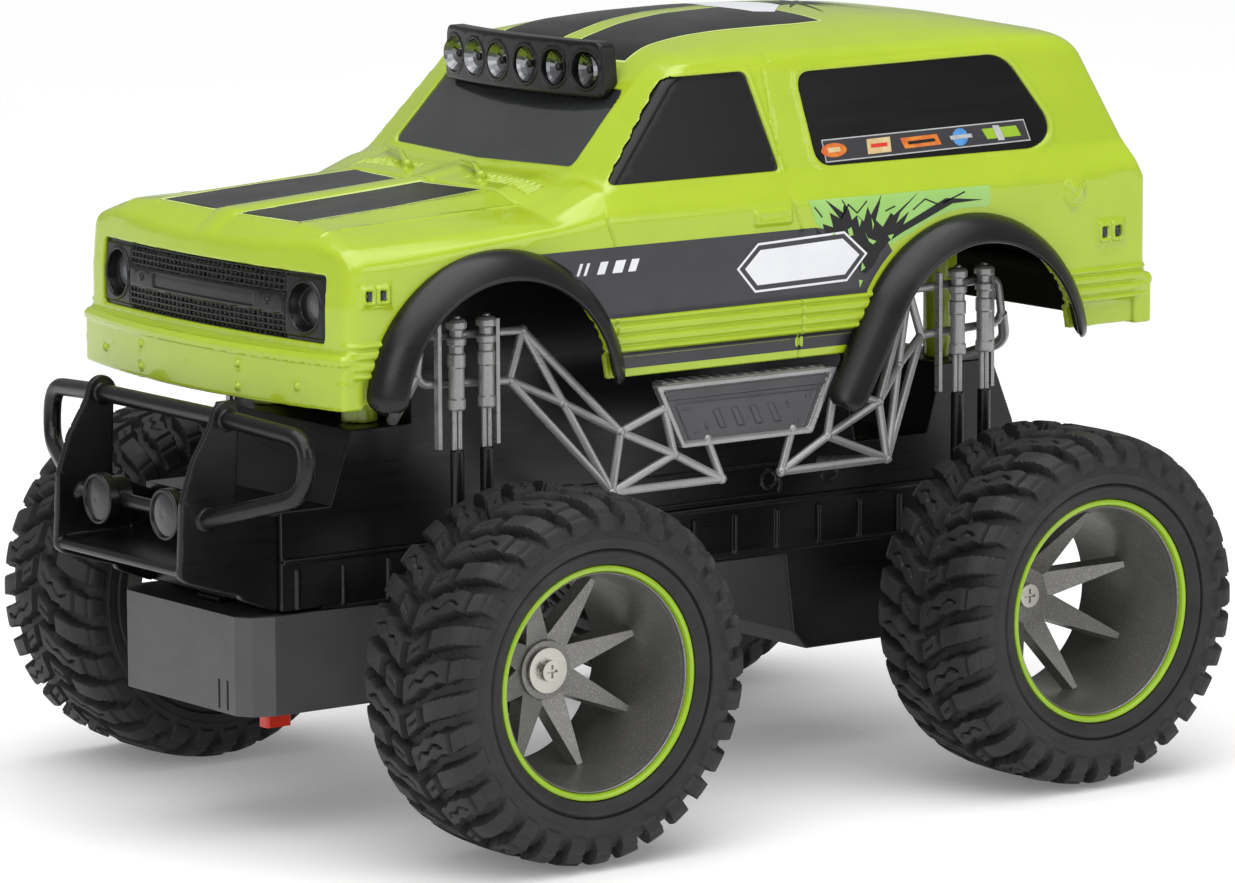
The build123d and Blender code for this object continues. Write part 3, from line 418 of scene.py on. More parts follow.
def lower_side(x, z):
    width = 66.0 - 0.9 * np.clip((np.abs(x) - 118) / 18, 0, 1) - 0.35 * np.clip((140 - z) / 16, 0, 1)
    width = width - 0.9 * np.clip((131.3 - z) / 1.0, 0, 1)
    ribs = np.abs((z - 131.4) % 3.1 - 1.55)
    moulding = raised(box2(x, z, (0, 136.0), (151, 4.7), 0.5), 1.15)
    width = width + moulding * (0.3 + 0.7 * np.clip(ribs / 0.6 - 0.2, 0, 1))
    clear = (z > 160.9) | (z < 140.7)
    for line in (FRONT_DOOR_LINE, REAR_DOOR_LINE):
        width += groove(path2(x, z, line), 0.7, 0.6) * clear
    width += raised(box2(x, z, (-6.9, 164.7), (6.6, 2.1), 0.6), 1.1, 0.8)
    width = width - raised(box2(x, z, (-6.9, 164.9), (5.2, 1.0), 0.5), 0.4, 0.5)
    for cx, cz, size in MARKERS:
        width += raised(box2(x, z, (cx, cz), (5.6 * size, 3.7 * size), 0.5), 0.5)
    for cx, cz, size in MARKER_LAMPS:
        width += raised(box2(x, z, (cx, cz), (2.3 * size, 2.8 * size), 0.4), 0.7, 0.4)
        width -= raised(box2(x, z, (cx, cz), (1.3 * size, 1.7 * size), 0.2), 1.1, 0.3)
    cap = np.hypot(x + 117.0, z - 163.7)
    width += raised(cap - 4.4, 0.5) - raised(np.abs(cap - 3.6) - 0.25, 0.4, 0.4)
    return width + raised(np.abs(cap - 1.5) - 0.5, 0.3, 0.4)


def nose_face(y, z):
    return 140.7 - 5.2 * (y / 65.0) ** 2 - 0.10 * np.maximum(z - 150, 0)


def tail_face(y, z):
    lean = np.interp(z, (110, 166, 170, 180), (0, 0, 2.2, 7.5))
    panel = raised(box2(y, z, (0, 151.0), (34, 9.5), 1.0), 0.5)
    lamp = raised(box2(y, z, (56.0, 152.0), (4.6, 7.5), 0.8), 0.7)
    bars = raised(np.abs(z - 152.0) - 0.4, 0.5, 0.4) * (np.abs(y - 56) < 4.4)
    handle = raised(box2(y, z, (0, 156.0), (7.0, 2.0), 0.6), 0.9)
    return -147.4 + 2.0 * (y / 65.5) ** 4 + lean - panel - lamp - handle + bars


def cabin_side(x, z):
    width = 60.4 - 6.2 * (z - 174.0) / 32.0
    gutter = line2(x, z, (24, 207.2), (-14, 208.4))
    crease = line2(x, z, (-16, 206.6), (-112, 206.8))
    shut = path2(x, z, [(-14.6, 176.0), (-12.2, 205.6), (22.8, 206.0)])
    for window, corner in ((DOOR_WINDOW, 3.0), (REAR_WINDOW, 5.5)):
        width = width + raised(np.abs(convex2(x, z, window, corner) - 1.0) - 0.7, 0.28, 0.8)
    return width + raised(gutter - 0.6, 0.7, 1.2) + raised(crease - 0.2, 0.35, 1.4) + groove(shut, 0.35, 0.4)


def cabin_roof(x, y):
    ridge = np.interp(x, (-150, -125, -100, -70, -35, -15, 0, 14, 24, 60),
                      (200.2, 208.6, 213.9, 217.3, 218.8, 217.6, 215.0, 211.2, 207.6, 207.2))
    arch = 218.8 - 15.8 * (y / 64.0) ** 2
    return smin(ridge, arch, 5.0) + raised(line2(x, y, (14, 44.5), (-112, 44.5)) - 0.8, 0.35, 1.6)


TOP = Chart((-152, -1), (152, 72), 0.4, sections, soften=0.9)
TOP_DETAIL = Chart((-152, -1), (152, 72), 0.25, lower_top)
SIDE = Chart((-152, 108), (152, 182), 0.25, lower_side, soften=0.12)
NOSE = Chart((-1, 108), (72, 182), 0.5, nose_face)
TAIL = Chart((-1, 108), (72, 182), 0.3, tail_face)
CABIN_SIDE = Chart((-152, 172), (62, 224), 0.25, cabin_side, soften=0.15)
ROOF = Chart((-152, -1), (62, 66), 0.4, cabin_roof, soften=2.0)


def lower_field(x, y, z):
    a = np.abs(y)
    top = (z - TOP(x, a) - TOP_DETAIL(x, a)) * 0.95
    around = smax(a - SIDE(x, z), x - NOSE(a, z), 4.5)
    around = smax(around, TAIL(a, z) - x, 3.6)
    return smax(top, around, 1.6)


def screen_x(a, z):
    return 53.4 - 0.95 * np.maximum(z - 174.0, -4.0) - 1.2 * a / 44.0 - 0.27 * np.maximum(a - 44, 0)


def cabin_field(x, y, z):
    a = np.abs(y)
    side = (a - CABIN_SIDE(x, z)) * 0.98
    screen = (x - screen_x(a, z)) * 0.725
    tail_x = -145.4 + 0.5 * np.maximum(z - 174.0, -2.0) + 1.6 * (a / 54.0) ** 2
    wall = smax(side, screen, 2.6)
    wall = smax(wall, (tail_x - x) * 0.9, 4.5)
    return smax(wall, z - ROOF(x, a), 4.5)


def body_form(x, y, z):
    return smin(lower_field(x, y, z), cabin_field(x, y, z), 2.2)


def arches(x, z, radius):
    u, v = x - FRONT_ARCH[0], z - FRONT_ARCH[1]
    front = np.minimum(np.hypot(u, v) - radius, np.maximum(np.abs(u) - radius, v))
    u, v = x - REAR_ARCH[0], z - REAR_ARCH[1]
    leg = np.maximum(u * 0.866 + v * 0.5 - radius, v - 0.577 * u)
    rear = np.minimum(np.hypot(u, v) - radius, np.maximum(np.maximum(leg, -u - radius), z - 136))
    return np.minimum(front, rear)


def windows(x, y, z):
    a = np.abs(y)
    sides = np.minimum(convex2(x, z, DOOR_WINDOW, 2.0), convex2(x, z, REAR_WINDOW, 5.5))
    sides = np.maximum(sides, 49.0 - a)
    half = 43.4 - 1.4 * (z - 179.8) / 20.2
    front = smax(smax(a - half, 179.6 - z + a * 0.02, 2.5), z - 200.3, 2.5)
    front = np.maximum(front, 12.0 - x)
    back = smax(smax(a - (43.0 - 4.0 * (z - 179.5) / 20.5), 180.5 - z, 5.0), z - 200.0, 5.0)
    back = np.maximum(back, x + 112.0)
    return np.minimum(np.minimum(sides, front), back)


def bumper(x, y, z, face, span, reach, low, high):
    """A bar across one end, bowed in plan."""
    a = np.abs(y)
    outer = face - reach * (a / 64.9) ** 2
    slab = smax(x - outer, outer - 7.0 - x, 1.2)
    return smax(smax(slab, a - span, 1.5), np.maximum(z - high, low - z), 1.0)


def bosses(x, y, z):
    near = np.minimum.reduce([np.hypot(x - sx * 103.0, y - sy * 22.0) for sx in (-1, 1) for sy in (-1, 1)])
    posts = np.maximum(near - 5.0, np.maximum(112.35 - z, z - 163.0))
    return np.maximum(posts, -np.maximum(near - 1.6, z - 124.0))


def wipers(x, y, z):
    rods = []
    for pivot, knee, tip in (((60, 20, 177.0), (55.5, 10, 179.6), (51.0, -12, 180.6)),
                             ((60, -16, 177.0), (55.5, -26, 179.6), (50.0, -41, 180.2))):
        rods += [(pivot, knee, 0.9), (knee, tip, 0.75), ((pivot[0], pivot[1], 174), pivot, 1.6)]
    return np.minimum.reduce([segment((x, y, z), p, q) - radius for p, q, radius in rods])


def shell_field(x, y, z):
    a = np.abs(y)
    form = smin(body_form(x, y, z), wipers(x, y, z), 0.8)
    shell = smax(form, -(body_form(x, y, z) + WALL), 0.3)
    shell = np.maximum(shell, 124.0 - z)
    face, span, bow = 145.3, 64.9, 8.2
    front = bumper(x, y, z, face, span, bow, 122.7, 137.9)
    lip = raised(np.abs(z - 136.0) - 1.0, 0.5, 0.8)
    crease = raised(np.abs(z - 129.9) - 0.2, 0.25, 1.5)
    bolts = np.minimum.reduce([(x - face + bow * (by / span) ** 2) ** 2 + (a - by) ** 2 + (z - bz) ** 2
                               for by, bz in ((48.4, 128.4), (24.5, 132.3), (24.4, 126.0))])
    front = smin(front - lip - crease, np.sqrt(bolts) - 1.1, 0.5)
    back = bumper(-x, y, z, 148.6, 65.4, 1.2, 123.4, 138.1) - raised(np.abs(z - 136.0) - 1.0, 0.3, 0.8)
    shell = smin(shell, np.minimum(front, back), 0.8)
    shell = smax(shell, -arches(x, z, 38.6), 0.5)
    shell = smax(shell, -windows(x, y, z), 0.5)
    opening = np.maximum(smax(a - 55.5, np.abs(z - HEAD_Z) - 9.2, 1.5), 128.0 - x)
    shell = smax(shell, -opening, 0.6)
    return smin(shell, bosses(x, y, z), 0.3)


STEP = pick(0.6)
shell = carved("body", shell_field, (-151, -69, 111), (149, 69, 221), STEP, LIME, 0.02)
centres = np.empty(len(shell.data.polygons) * 3, np.float32)
shell.data.polygons.foreach_get("center", centres)
centres = (centres.reshape(-1, 3).astype(float) * 1000 - AXLE_SHIFT).T  # undoes laid()
# Faces inside the shell wall, but not on the bosses, take the very dark olive: painted shade for the inside
# of the body.
inside = (body_form(*centres) < -1.5) & (bosses(*centres) > 0.3)
shell.data.materials.append(PAINTED_SHADE_INSIDE)
shell.data.polygons.foreach_set("material_index", inside.astype(np.int32))
fitted("lime_plastic", shell, "body_shell")


def glass(limit):
    """A pane a little behind the cabin's surface, in the window on one side of a limit."""
    def field(x, y, z):
        slab = np.abs(cabin_field(x, y, z) + 1.3) - 0.7
        return np.maximum(np.maximum(slab, windows(x, y, z) - 0.5), limit(x, y, z))
    return field


def pane_of(name, limit, low, high, material):
    return carved(name, glass(limit), low, high, 0.6, material, 0.05)


screen = pane_of("windscreen_glass", lambda x, y, z: 14.0 - x + np.maximum(np.abs(y) - 45, 0) * 9,
                 (14, -47, 176), (56, 47, 203), SCREEN)
fitted("dark_glazing", screen, "windscreen")
backlight = pane_of("rear_glass", lambda x, y, z: x + 115.0, (-146, -48, 176), (-114, 48, 203), SIDE_GLASS)
fitted("dark_glazing", backlight, "rear_window")
sides = [pane_of(f"side_glass_{k}", lambda x, y, z, k=k: 46.0 - k * y, (-116, y, 174), (50, y + 18, 207),
                 SIDE_GLASS) for k, y in ((1, 44), (-1, -62))]
fitted("dark_glazing", joined("side_glass", sides), "side_windows")


# Grille, lamps and light bar

def grille_field(x, y, z):
    a = np.abs(y)
    u = x - NOSE(a, z)
    rows = np.abs((z - 141.0) % 1.62 - 0.81)
    bars = np.abs((a + 1.1) % 2.2 - 1.1)
    mesh = np.maximum(-1.2 - np.clip(rows - 0.28, 0, 0.25) * 6, -1.5 - np.clip(bars - 0.32, 0, 0.25) * 6)
    front = np.where(a < 38.6, mesh, -1.3)
    middle = box2(a, z, (0, 149.7), (38.6, 2.9), 0.4)
    front = np.where(middle < 0, -0.9 + 0.25 * np.clip(-middle / 0.6, 0, 1), front)
    front = front - raised(box2(a, z, (0, 149.7), (25.2, 1.9), 0.5), 0.5, 0.4)
    front = front + raised(np.hypot(a - 31.5, z - 149.7) - 0.9, 0.6, 0.5)
    lamp = np.hypot(a - HEAD_Y, z - HEAD_Z)
    front = np.where(a > 39.4, -1.1, front)
    front = front + raised(np.abs(lamp - 6.9) - 0.45, 0.55, 0.5)
    front = np.where(lamp < 6.3, np.maximum(-4.2, -1.4 - (6.3 - lamp) * 3), front)
    front = front + raised(1.1 - np.minimum(55.6 - a, 9.2 - np.abs(z - HEAD_Z)), 0.5, 0.5)
    outline = smax(a - 55.7, np.abs(z - HEAD_Z) - 9.4, 1.2)
    return np.maximum(np.maximum((u - front) * 0.6, -5.2 - u), outline)


grille = carved("grille_insert", grille_field, (126, -57, 139), (142, 57, 160), pick(0.32), BLACK,
                0.02, 0.1)
fitted("black_plastic", grille, "grille")
dome = [(0.01, -3.2), (5.6, -3.2), (6.2, -2.6), (5.9, -1.0), (4.8, 0.0), (3.2, 0.7), (1.6, 1.0), (0.01, 1.1)]
fitted("clear_lens", turned_pair("headlamp_lenses", dome, HEAD_X, HEAD_Y, HEAD_Z, LENS, 48), "headlamps")

BAR_Z, BAR_LAMPS = 205.6, (6.7, 19.2, 31.5)
BAR_FACE, BAR_BOW = 35.4, 342.0


def bar_lamp(name, profile, y, turn, material, sides):
    """A turned piece in one of the bar's lamps, set back with the bar's bow."""
    return turned(name, profile, (BAR_FACE - y * y / BAR_BOW, y, BAR_Z), (1, turn, 0), material, sides)


def light_bar_field(x, y, z):
    a = np.abs(y)
    u = x - BAR_FACE + y * y / BAR_BOW
    outline = convex2(a, z, [(-60.0, 198.0), (38.4, 198.0), (37.2, 213.6), (-60.0, 213.6)], 2.6)
    bar = smax(outline, np.abs(u + 2.8) - 2.8, 1.0)
    feet = smax(smax(np.abs(a - 27) - 6.5, np.abs(u + 7) - 4.5, 1.0), np.abs(z - 200.5) - 2.3, 1.0)
    bar = smin(bar, feet, 1.0)
    for lamp in BAR_LAMPS:
        ring = np.hypot(a - lamp, z - BAR_Z)
        bar = smin(bar, smax(np.abs(ring - 5.4) - 0.45, np.abs(u) - 0.25, 0.2), 0.3)
        bar = smax(bar, -smax(ring - 5.0, -3.6 - u, 0.3), 0.3)
    return np.maximum(bar, 0.2 - cabin_field(x, y, z))


light_bar = carved("roof_light_bar", light_bar_field, (20, -40, 196), (38, 40, 215), pick(0.35),
                   BLACK, 0.02, 0.15)
fitted("black_plastic", light_bar, "light_bar")
cup = [(4.9, -0.4), (4.9, -3.4), (0.4, -3.4), (0.4, -3.0), (1.4, -2.9), (3.0, -2.1), (4.2, -1.1)]
bulb = [(0.01, -3.2), (1.1, -3.2), (1.1, -1.4), (0.6, -0.9), (0.01, -0.8)]
lamp_places = [k * v for k in (-1, 1) for v in BAR_LAMPS]
reflectors = [bar_lamp("cup", cup, y, -2 * y / BAR_BOW, CHROME, 22) for y in lamp_places]
for made in reflectors:
    made.modifiers.clear()
    made.data.polygons.foreach_set("use_smooth", np.zeros(len(made.data.polygons), bool))
fitted("chrome", joined("bar_reflectors", reflectors), "light_bar_lamps")
bulbs = [bar_lamp("bulb", bulb, y, 0, BLACK, 20) for y in lamp_places]
fitted("black_plastic", joined("bar_bulbs", bulbs))

# Tyres

LUGS, TREAD_RADIUS = 16, 49.0
PITCH = 2 * math.pi * TREAD_RADIUS / LUGS


def tyre_outline():
    """Points along the outside from bead to bead, with their normals and distances from the middle."""
    half = [(47.4, 0), (47.35, 8), (47.0, 14), (46.3, 18), (44.6, 20.9), (42.2, 22.0), (39.5, 22.35),
            (36.5, 21.9), (34.0, 20.9), (32.4, 19.7)]
    whole = np.array([(r, -w) for r, w in half[:0:-1]] + half)
    run = np.concatenate(([0], np.cumsum(np.linalg.norm(np.diff(whole, axis=0), axis=1))))
    fine = np.arange(0, run[-1], 0.25)
    curve = np.stack([np.interp(fine, run, whole[:, k]) for k in (0, 1)], 1)
    kernel = np.exp(-0.5 * (np.arange(-10, 11) * 0.25 / 0.9) ** 2)
    kernel /= kernel.sum()
    padded = np.pad(curve, ((10, 10), (0, 0)), mode="reflect", reflect_type="odd")
    curve = np.stack([np.convolve(padded[:, k], kernel, "valid") for k in (0, 1)], 1)
    rows = np.linspace(0, len(fine) - 1, pick(128))
    points = np.stack([np.interp(rows, np.arange(len(fine)), curve[:, k]) for k in (0, 1)], 1)
    tangent = np.gradient(points, axis=0)
    tangent /= np.linalg.norm(tangent, axis=1, keepdims=True)
    return points, np.stack((tangent[:, 1], -tangent[:, 0]), 1), rows * 0.25 - run[-1] / 2


def tread(u, s):
    """Height of the tread at a distance u round the tyre and s across it."""
    side = np.abs(s)
    u = u + (s < 0) * PITCH / 2
    sweep = 0.62 * np.minimum(side, 10) + 0.34 * np.maximum(side - 10, 0)

    def bar(offset, start, stop, half, wave=0.0):
        across = (u - offset - sweep + wave + PITCH / 2) % PITCH - PITCH / 2
        return np.maximum(np.abs(across) - half, np.maximum(start - side, side - stop)), across

    jog = 0.8 * (np.abs(side % 6.0 - 3.0) - 1.5)
    long_bar, across = bar(0.0, 0.9, 25.0, 3.7 - 0.03 * side, jog * 0.35)
    short_bar, _ = bar(PITCH * 0.5, 9.5, 25.0, 2.9)
    block, near = bar(PITCH * 0.5, 1.4, 7.4, 2.7)
    shape = np.minimum(np.minimum(long_bar, short_bar), block)
    depth = np.interp(side, (0, 16.5, 20.5, 23.5, 25.5), (3.4, 3.4, 2.6, 1.3, 0.5))
    t = np.clip(0.5 - shape / 0.55, 0, 1)
    height = depth * t * t * (3 - 2 * t)
    sipe = np.maximum(np.abs(across - jog) - 0.3, np.maximum(4.0 - side, side - 15.0))
    cross = np.maximum(np.abs(side - 17.6) - 0.35, long_bar)
    small = np.maximum(np.abs(near) - 0.28, np.maximum(2.6 - side, side - 6.4))
    ledge = np.maximum(np.abs(side - 20.9) - 0.25, shape)
    for cut, deep in ((sipe, 1.3), (cross, 0.9), (small, 1.0), (ledge, 0.4)):
        height = height - raised(cut, deep, 0.35) * t
    rings = raised(30.6 - side, 0.5, 0.9) - raised(np.abs(side - 30.2) - 0.3, 0.7, 0.4)
    rings = rings + raised(np.abs(side - 27.0) - 0.25, 0.25, 0.3)
    return height + rings


def tyre_mesh(name):
    outline, normal, s = tyre_outline()
    columns = LUGS * pick(38)
    angles = np.arange(columns) * 2 * math.pi / columns
    heights = tread(angles[:, None] * TREAD_RADIUS, s[None, :])
    radius = outline[None, :, 0] + normal[None, :, 0] * heights
    width = outline[None, :, 1] + normal[None, :, 1] * heights
    inner = [(32.2, 19.4), (32.2, 17.3), (31.1, 17.1), (31.1, 0), (31.1, -17.1), (32.2, -17.3), (32.2, -19.4)]
    radius = np.hstack((radius, np.tile([r for r, _ in inner], (columns, 1))))
    width = np.hstack((width, np.tile([w for _, w in inner], (columns, 1))))
    points = np.stack((radius * np.cos(angles)[:, None], width, radius * np.sin(angles)[:, None]), 2)
    faces = grid_faces(columns, radius.shape[1], True)
    made = mesh_object(name, points.reshape(-1, 3) * 0.001, [faces], RUBBER)
    made.data.set_sharp_from_angle(angle=math.radians(38))
    return made


master = tyre_mesh("tyre_front_left")
for end, x in (("front", AXLE_X), ("rear", -AXLE_X)):
    for side, k in (("left", 1), ("right", -1)):
        name = f"tyre_{end}_{side}"
        made = master if name == master.name else bpy.data.objects.new(name, master.data)
        if made is not master:
            bpy.context.scene.collection.objects.link(made)
        place = Matrix.Translation(laid((x, k * WHEEL_Y, AXLE_Z)))
        made.matrix_world = place @ Matrix.Rotation(math.pi * (k < 0), 4, "X")
        on(made, f"front_{side}_wheel" if end == "front" else "rear_axle", "rubber", f"{end}_{side}_tyre")

hoop = [(30.0, 17.3), (32.0, 17.3), (32.05, 19.4), (31.75, 20.15), (31.1, 20.45), (30.45, 20.15),
        (30.1, 19.4)]
lip = [(29.35, 17.2), (30.05, 17.2), (30.1, 18.7), (29.8, 19.25), (29.45, 18.9)]


def wheel_rings(section, name, material, x, sides):
    return joined(name, [turned(name, section, (x, k * WHEEL_Y, AXLE_Z), (0, k, 0), material, 120)
                         for k in sides])


for end, x, sides, body, ring in (
        ("front_left", AXLE_X, (1,), "front_left_wheel", "front_left_trim_ring"),
        ("front_right", AXLE_X, (-1,), "front_right_wheel", "front_right_trim_ring"),
        ("rear", -AXLE_X, (-1, 1), "rear_axle", "rear_trim_rings")):
    on(wheel_rings(hoop, f"{end}_hoop", TRIM, x, sides), body, "trim_green", ring)
    on(wheel_rings(lip, f"{end}_rim_lip", RIM, x, sides), body, "gunmetal_plastic")


# Wheel-arch flares

LIP = np.array([(39.6, 65.6), (42.6, 65.6), (42.55, 66.9), (42.0, 68.5), (40.9, 70.5), (39.4, 72.2),
                (37.6, 73.5), (36.2, 74.3), (35.4, 74.75), (34.8, 74.6), (34.6, 74.0), (34.9, 73.4),
                (36.4, 72.5), (38.2, 71.0), (39.4, 69.0), (39.8, 67.2)])


def flare(name, centre, start, stop, leg, side):
    """A bent lip round an arch, with an optional straight leg at its start."""
    stations = []
    a0 = math.radians(start)
    if leg:
        stations += [(a0, d) for d in np.linspace(leg, 0.5, 22)]
    stations += [(a, 0.0) for a in np.radians(np.linspace(start, stop, 90))]
    middle = LIP.mean(0)
    points = []
    for k, (angle, along) in enumerate(stations):
        nearest = min(k, len(stations) - 1 - k)
        section = middle + (LIP - middle) * (0.55, 0.85, 0.97, 1.0)[min(nearest, 3)]
        reach = np.array((math.cos(angle), math.sin(angle)))
        tangent = np.array((math.sin(angle), -math.cos(angle)))
        flat = np.array(centre) + section[:, :1] * reach + along * tangent
        points.append(np.stack((flat[:, 0], side * section[:, 1], flat[:, 1]), 1))
    n, m = len(LIP), len(stations)
    caps = [points[0].mean(0), points[-1].mean(0)]
    points = np.concatenate(points + [np.array(caps)])
    faces = grid_faces(m, n, False)
    k = np.arange(n)
    ends = np.concatenate((np.stack((np.full(n, m * n), (k + 1) % n, k), 1),
                           np.stack((np.full(n, m * n + 1), (m - 1) * n + k, (m - 1) * n + (k + 1) % n), 1)))
    if side > 0:
        faces, ends = faces[:, ::-1], ends[:, ::-1]
    return mesh_object(name, laid(points), [faces, ends], BLACK)


for end, *arch in (("front", FRONT_ARCH, 3.0, 175.0, 0), ("rear", REAR_ARCH, 30.0, 173.0, 32.0)):
    lips = [flare(f"lip_{side}", *arch, side) for side in (-1, 1)]
    fitted("black_plastic", joined(f"{end}_flare_lips", lips), f"{end}_flares")


# Bull bar

PLATE_Y = 31.4
AUX_LAMP = AUX_X, AUX_Y, AUX_Z = 159.0, 17.1, 91.7


def rounded(corners, reach, count=7):
    """A path of straight runs with each corner eased over a length."""
    corners = [np.array(c, float) for c in corners]
    path = [corners[0]]
    for before, corner, after in zip(corners, corners[1:], corners[2:]):
        start = corner + (before - corner) * reach / math.dist(before, corner)
        stop = corner + (after - corner) * reach / math.dist(after, corner)
        for t in np.linspace(0, 1, count):
            path.append(start * (1 - t) ** 2 + corner * 2 * t * (1 - t) + stop * t ** 2)
    return path + [corners[-1]]


HOOP = rounded([(153.2, PLATE_Y, 118.8), (148.4, 64.4, 116.4), (149.2, 64.4, 101.2),
                (160.6, PLATE_Y, 91.6)], 7.0)


def bull_bar_field(x, y, z):
    a = np.abs(y)

    def tube(cx, cz, radius):
        return np.maximum(np.hypot(x - cx, z - cz) - radius, a - PLATE_Y)

    front = np.interp(z, (70, 75, 77, 97, 108, 115, 120, 124),
                      (150, 167.8, 169.0, 168.0, 164.2, 159.8, 157.0, 155.4))
    rear = np.interp(z, (64, 90, 96, 118, 124), (137.2, 137.2, 150.2, 149.4, 150.4))
    under = (0.378 * (x - 137.4) - (z - 64.0)) * 0.93
    outline = smax(smax((x - front) * 0.9, (rear - x) * 0.85, 1.6), smax(under, z - 121.0, 1.2), 1.6)
    crest = np.hypot(x - 153.2, z - 119.2) - 4.4
    plate = smax(smin(outline, crest, 1.5), np.abs(a - PLATE_Y) - 1.1, 0.6)
    bar = smin(plate, tube(153.2, 118.8, 2.5), 0.8)
    hoop = np.minimum.reduce([segment((x, a, z), p, q) for p, q in zip(HOOP, HOOP[1:])])
    bar = smin(bar, hoop - 2.5, 0.8)
    bar = smin(bar, tube(AUX_X, AUX_Z, 2.0), 0.8)
    shelf_z = 79.6 - 0.05 * (x - 137.4)
    shelf = smax(np.maximum(np.abs(z - shelf_z) - 1.0, a - PLATE_Y), smax(x - 167.8, 137.0 - x, 1.0), 0.8)
    panel = np.maximum(np.abs(z - 83.5) - 4.5, a - PLATE_Y)
    panel = np.maximum(np.abs((x - 143.0) - 0.28 * (z - 79.0)) - 1.0, panel)
    return smin(smin(bar, smin(shelf, tube(167.0, 78.0, 1.5), 0.5), 1.0), panel, 1.0)


bull_bar = carved("front_bull_bar", bull_bar_field, (135, -68, 62), (172, 68, 126), pick(0.5),
                  BLACK, 0.02)
fitted("black_plastic", bull_bar, "bull_bar")
housing = [(0.01, -3.8), (5.2, -3.8), (5.9, -3.2), (6.0, 1.2), (6.9, 1.5), (7.2, 2.0), (7.2, 4.8), (6.9, 5.2),
           (6.2, 5.2), (6.0, 4.4), (0.01, 4.4)]
lens = [(0.01, 4.2), (6.0, 4.2), (6.0, 4.6), (4.6, 5.0), (2.4, 5.3), (0.01, 5.4)]
housings = turned_pair("bull_bar_housings", housing, *AUX_LAMP, BLACK, 56)
fitted("black_plastic", housings, "bull_bar_lamps")
lenses = turned_pair("bull_bar_lens_pair", lens, *AUX_LAMP, DARK_LENS, 56)
fitted("clear_lens", lenses, "bull_bar_lenses")

# Shocks, side plates and hull sides

damper = [(0.01, 118.2), (2.1, 118.2), (2.5, 118.7), (2.5, 121.2), (2.2, 121.6), (2.2, 129.8), (2.5, 130.2),
          (2.5, 133.6), (2.1, 134.0), (2.1, 135.9), (2.7, 136.3), (2.7, 138.0), (1.9, 138.5), (1.9, 140.3),
          (2.9, 140.8), (2.9, 142.4), (2.3, 143.2), (1.1, 143.4), (1.1, 144.0), (0.01, 144.2)]
rod = [(0.01, 106.6), (0.6, 106.6), (0.75, 106.8), (0.75, 118.6), (0.01, 118.6)]
leg = [(0.01, 67.0), (2.2, 67.0), (2.4, 67.3), (2.4, 69.5), (1.9, 70.2), (1.9, 107.0), (1.6, 107.4),
       (0.01, 107.4)]


def at_shocks(name, profile, material, sides, offsets=(0.0,)):
    """The same turned piece at each of the eight shocks, or several of it side by side."""
    return joined(name, [turned(name, profile, (x + offset, y, 0), (0, 0, 1), material, sides)
                         for x in (83.0, 92.9, -83.0, -92.9) for y in (54.4, -54.4) for offset in offsets])


fitted("gunmetal_plastic", at_shocks("shock_bodies", damper, GUNMETAL, 36), "shock_cylinders")
fitted("gunmetal_plastic", at_shocks("shock_rod_pairs", rod, GUNMETAL, 20, (-0.85, 0.85)), "shock_rods")
fitted("black_plastic", at_shocks("shock_legs", leg, BLACK, 32))

PLATE = [(-21.4, 102.4), (-30.3, 120.5), (33.3, 120.5), (24.4, 102.4)]


def plate_field(x, y, z):
    a = np.abs(y)
    outline = convex2(x, z, PLATE, 0.8)
    relief = -raised(outline + 1.5, 0.9, 0.4)
    slab = np.maximum(np.maximum(outline, a - 65.6 - relief), 63.2 - a)
    tread_x = np.abs((x + 1.0) % 4.0 - 2.0)
    step = box3(x, a, z, (1.5, 61.5, 120.0), (28.0, 3.6, 0.9), 0.4)
    step = step - raised(np.maximum(tread_x - 0.9, np.abs(a - 61.4) - 2.4), 0.35, 0.4)
    return smin(slab, step, 0.4)


def panel_field(x, y, z):
    a = np.abs(y)
    outline = convex2(x, z, PLATE, 0.8) + 1.7
    rim = np.abs(convex2(x, z, [(-18.6, 104.6), (-23.6, 114.9), (26.6, 114.9), (21.6, 104.6)], 0.6)) - 0.18
    relief = raised(rim, 0.3, 0.3) + 0.45 * (np.abs((z - 115.6) % 1.7 - 0.85) < 0.4) * (z > 115.8)
    for half, cz in ((21.4, 113.2), (17.4, 106.4)):
        for near in (-0.7, 0.7):
            rivet = np.hypot(np.abs(x - 1.5) - half - near, z - cz)
            relief += raised(rivet - 0.3, 0.35, 0.4)
    slots = np.abs((x - 1.5 - 0.5 * (z - 109.6)) % 6.4 - 3.2) - 1.1
    slots = np.maximum(slots, box2(x, z, (1.5, 109.6), (14.5, 2.6), 0.6))
    relief += raised(slots, 0.45, 0.4)
    return np.maximum(np.maximum(outline, a - 64.75 - relief), 64.0 - a)


def both_sides(name, field, low, high, step, material):
    """A carved piece on each side of the car, from limits given for the left one."""
    made = []
    for k in (-1, 1):
        near, far = sorted((k * low[1], k * high[1]))
        limits = (low[0], near, low[2]), (high[0], far, high[2])
        made.append(carved(f"{name}_{k}", field, *limits, step, material, 0.02, 0.12))
    return joined(name, made)


FINE = pick(0.38)
plates = both_sides("badge_plates", plate_field, (-32, 57, 101), (35, 67.5, 122.5), FINE, GUNMETAL)
fitted("grey_plastic", plates, "side_plates")
panels = both_sides("badge_panels", panel_field, (-32, 63.4, 101), (35, 66.6, 122), FINE, PANEL)
fitted("grey_plastic", panels)


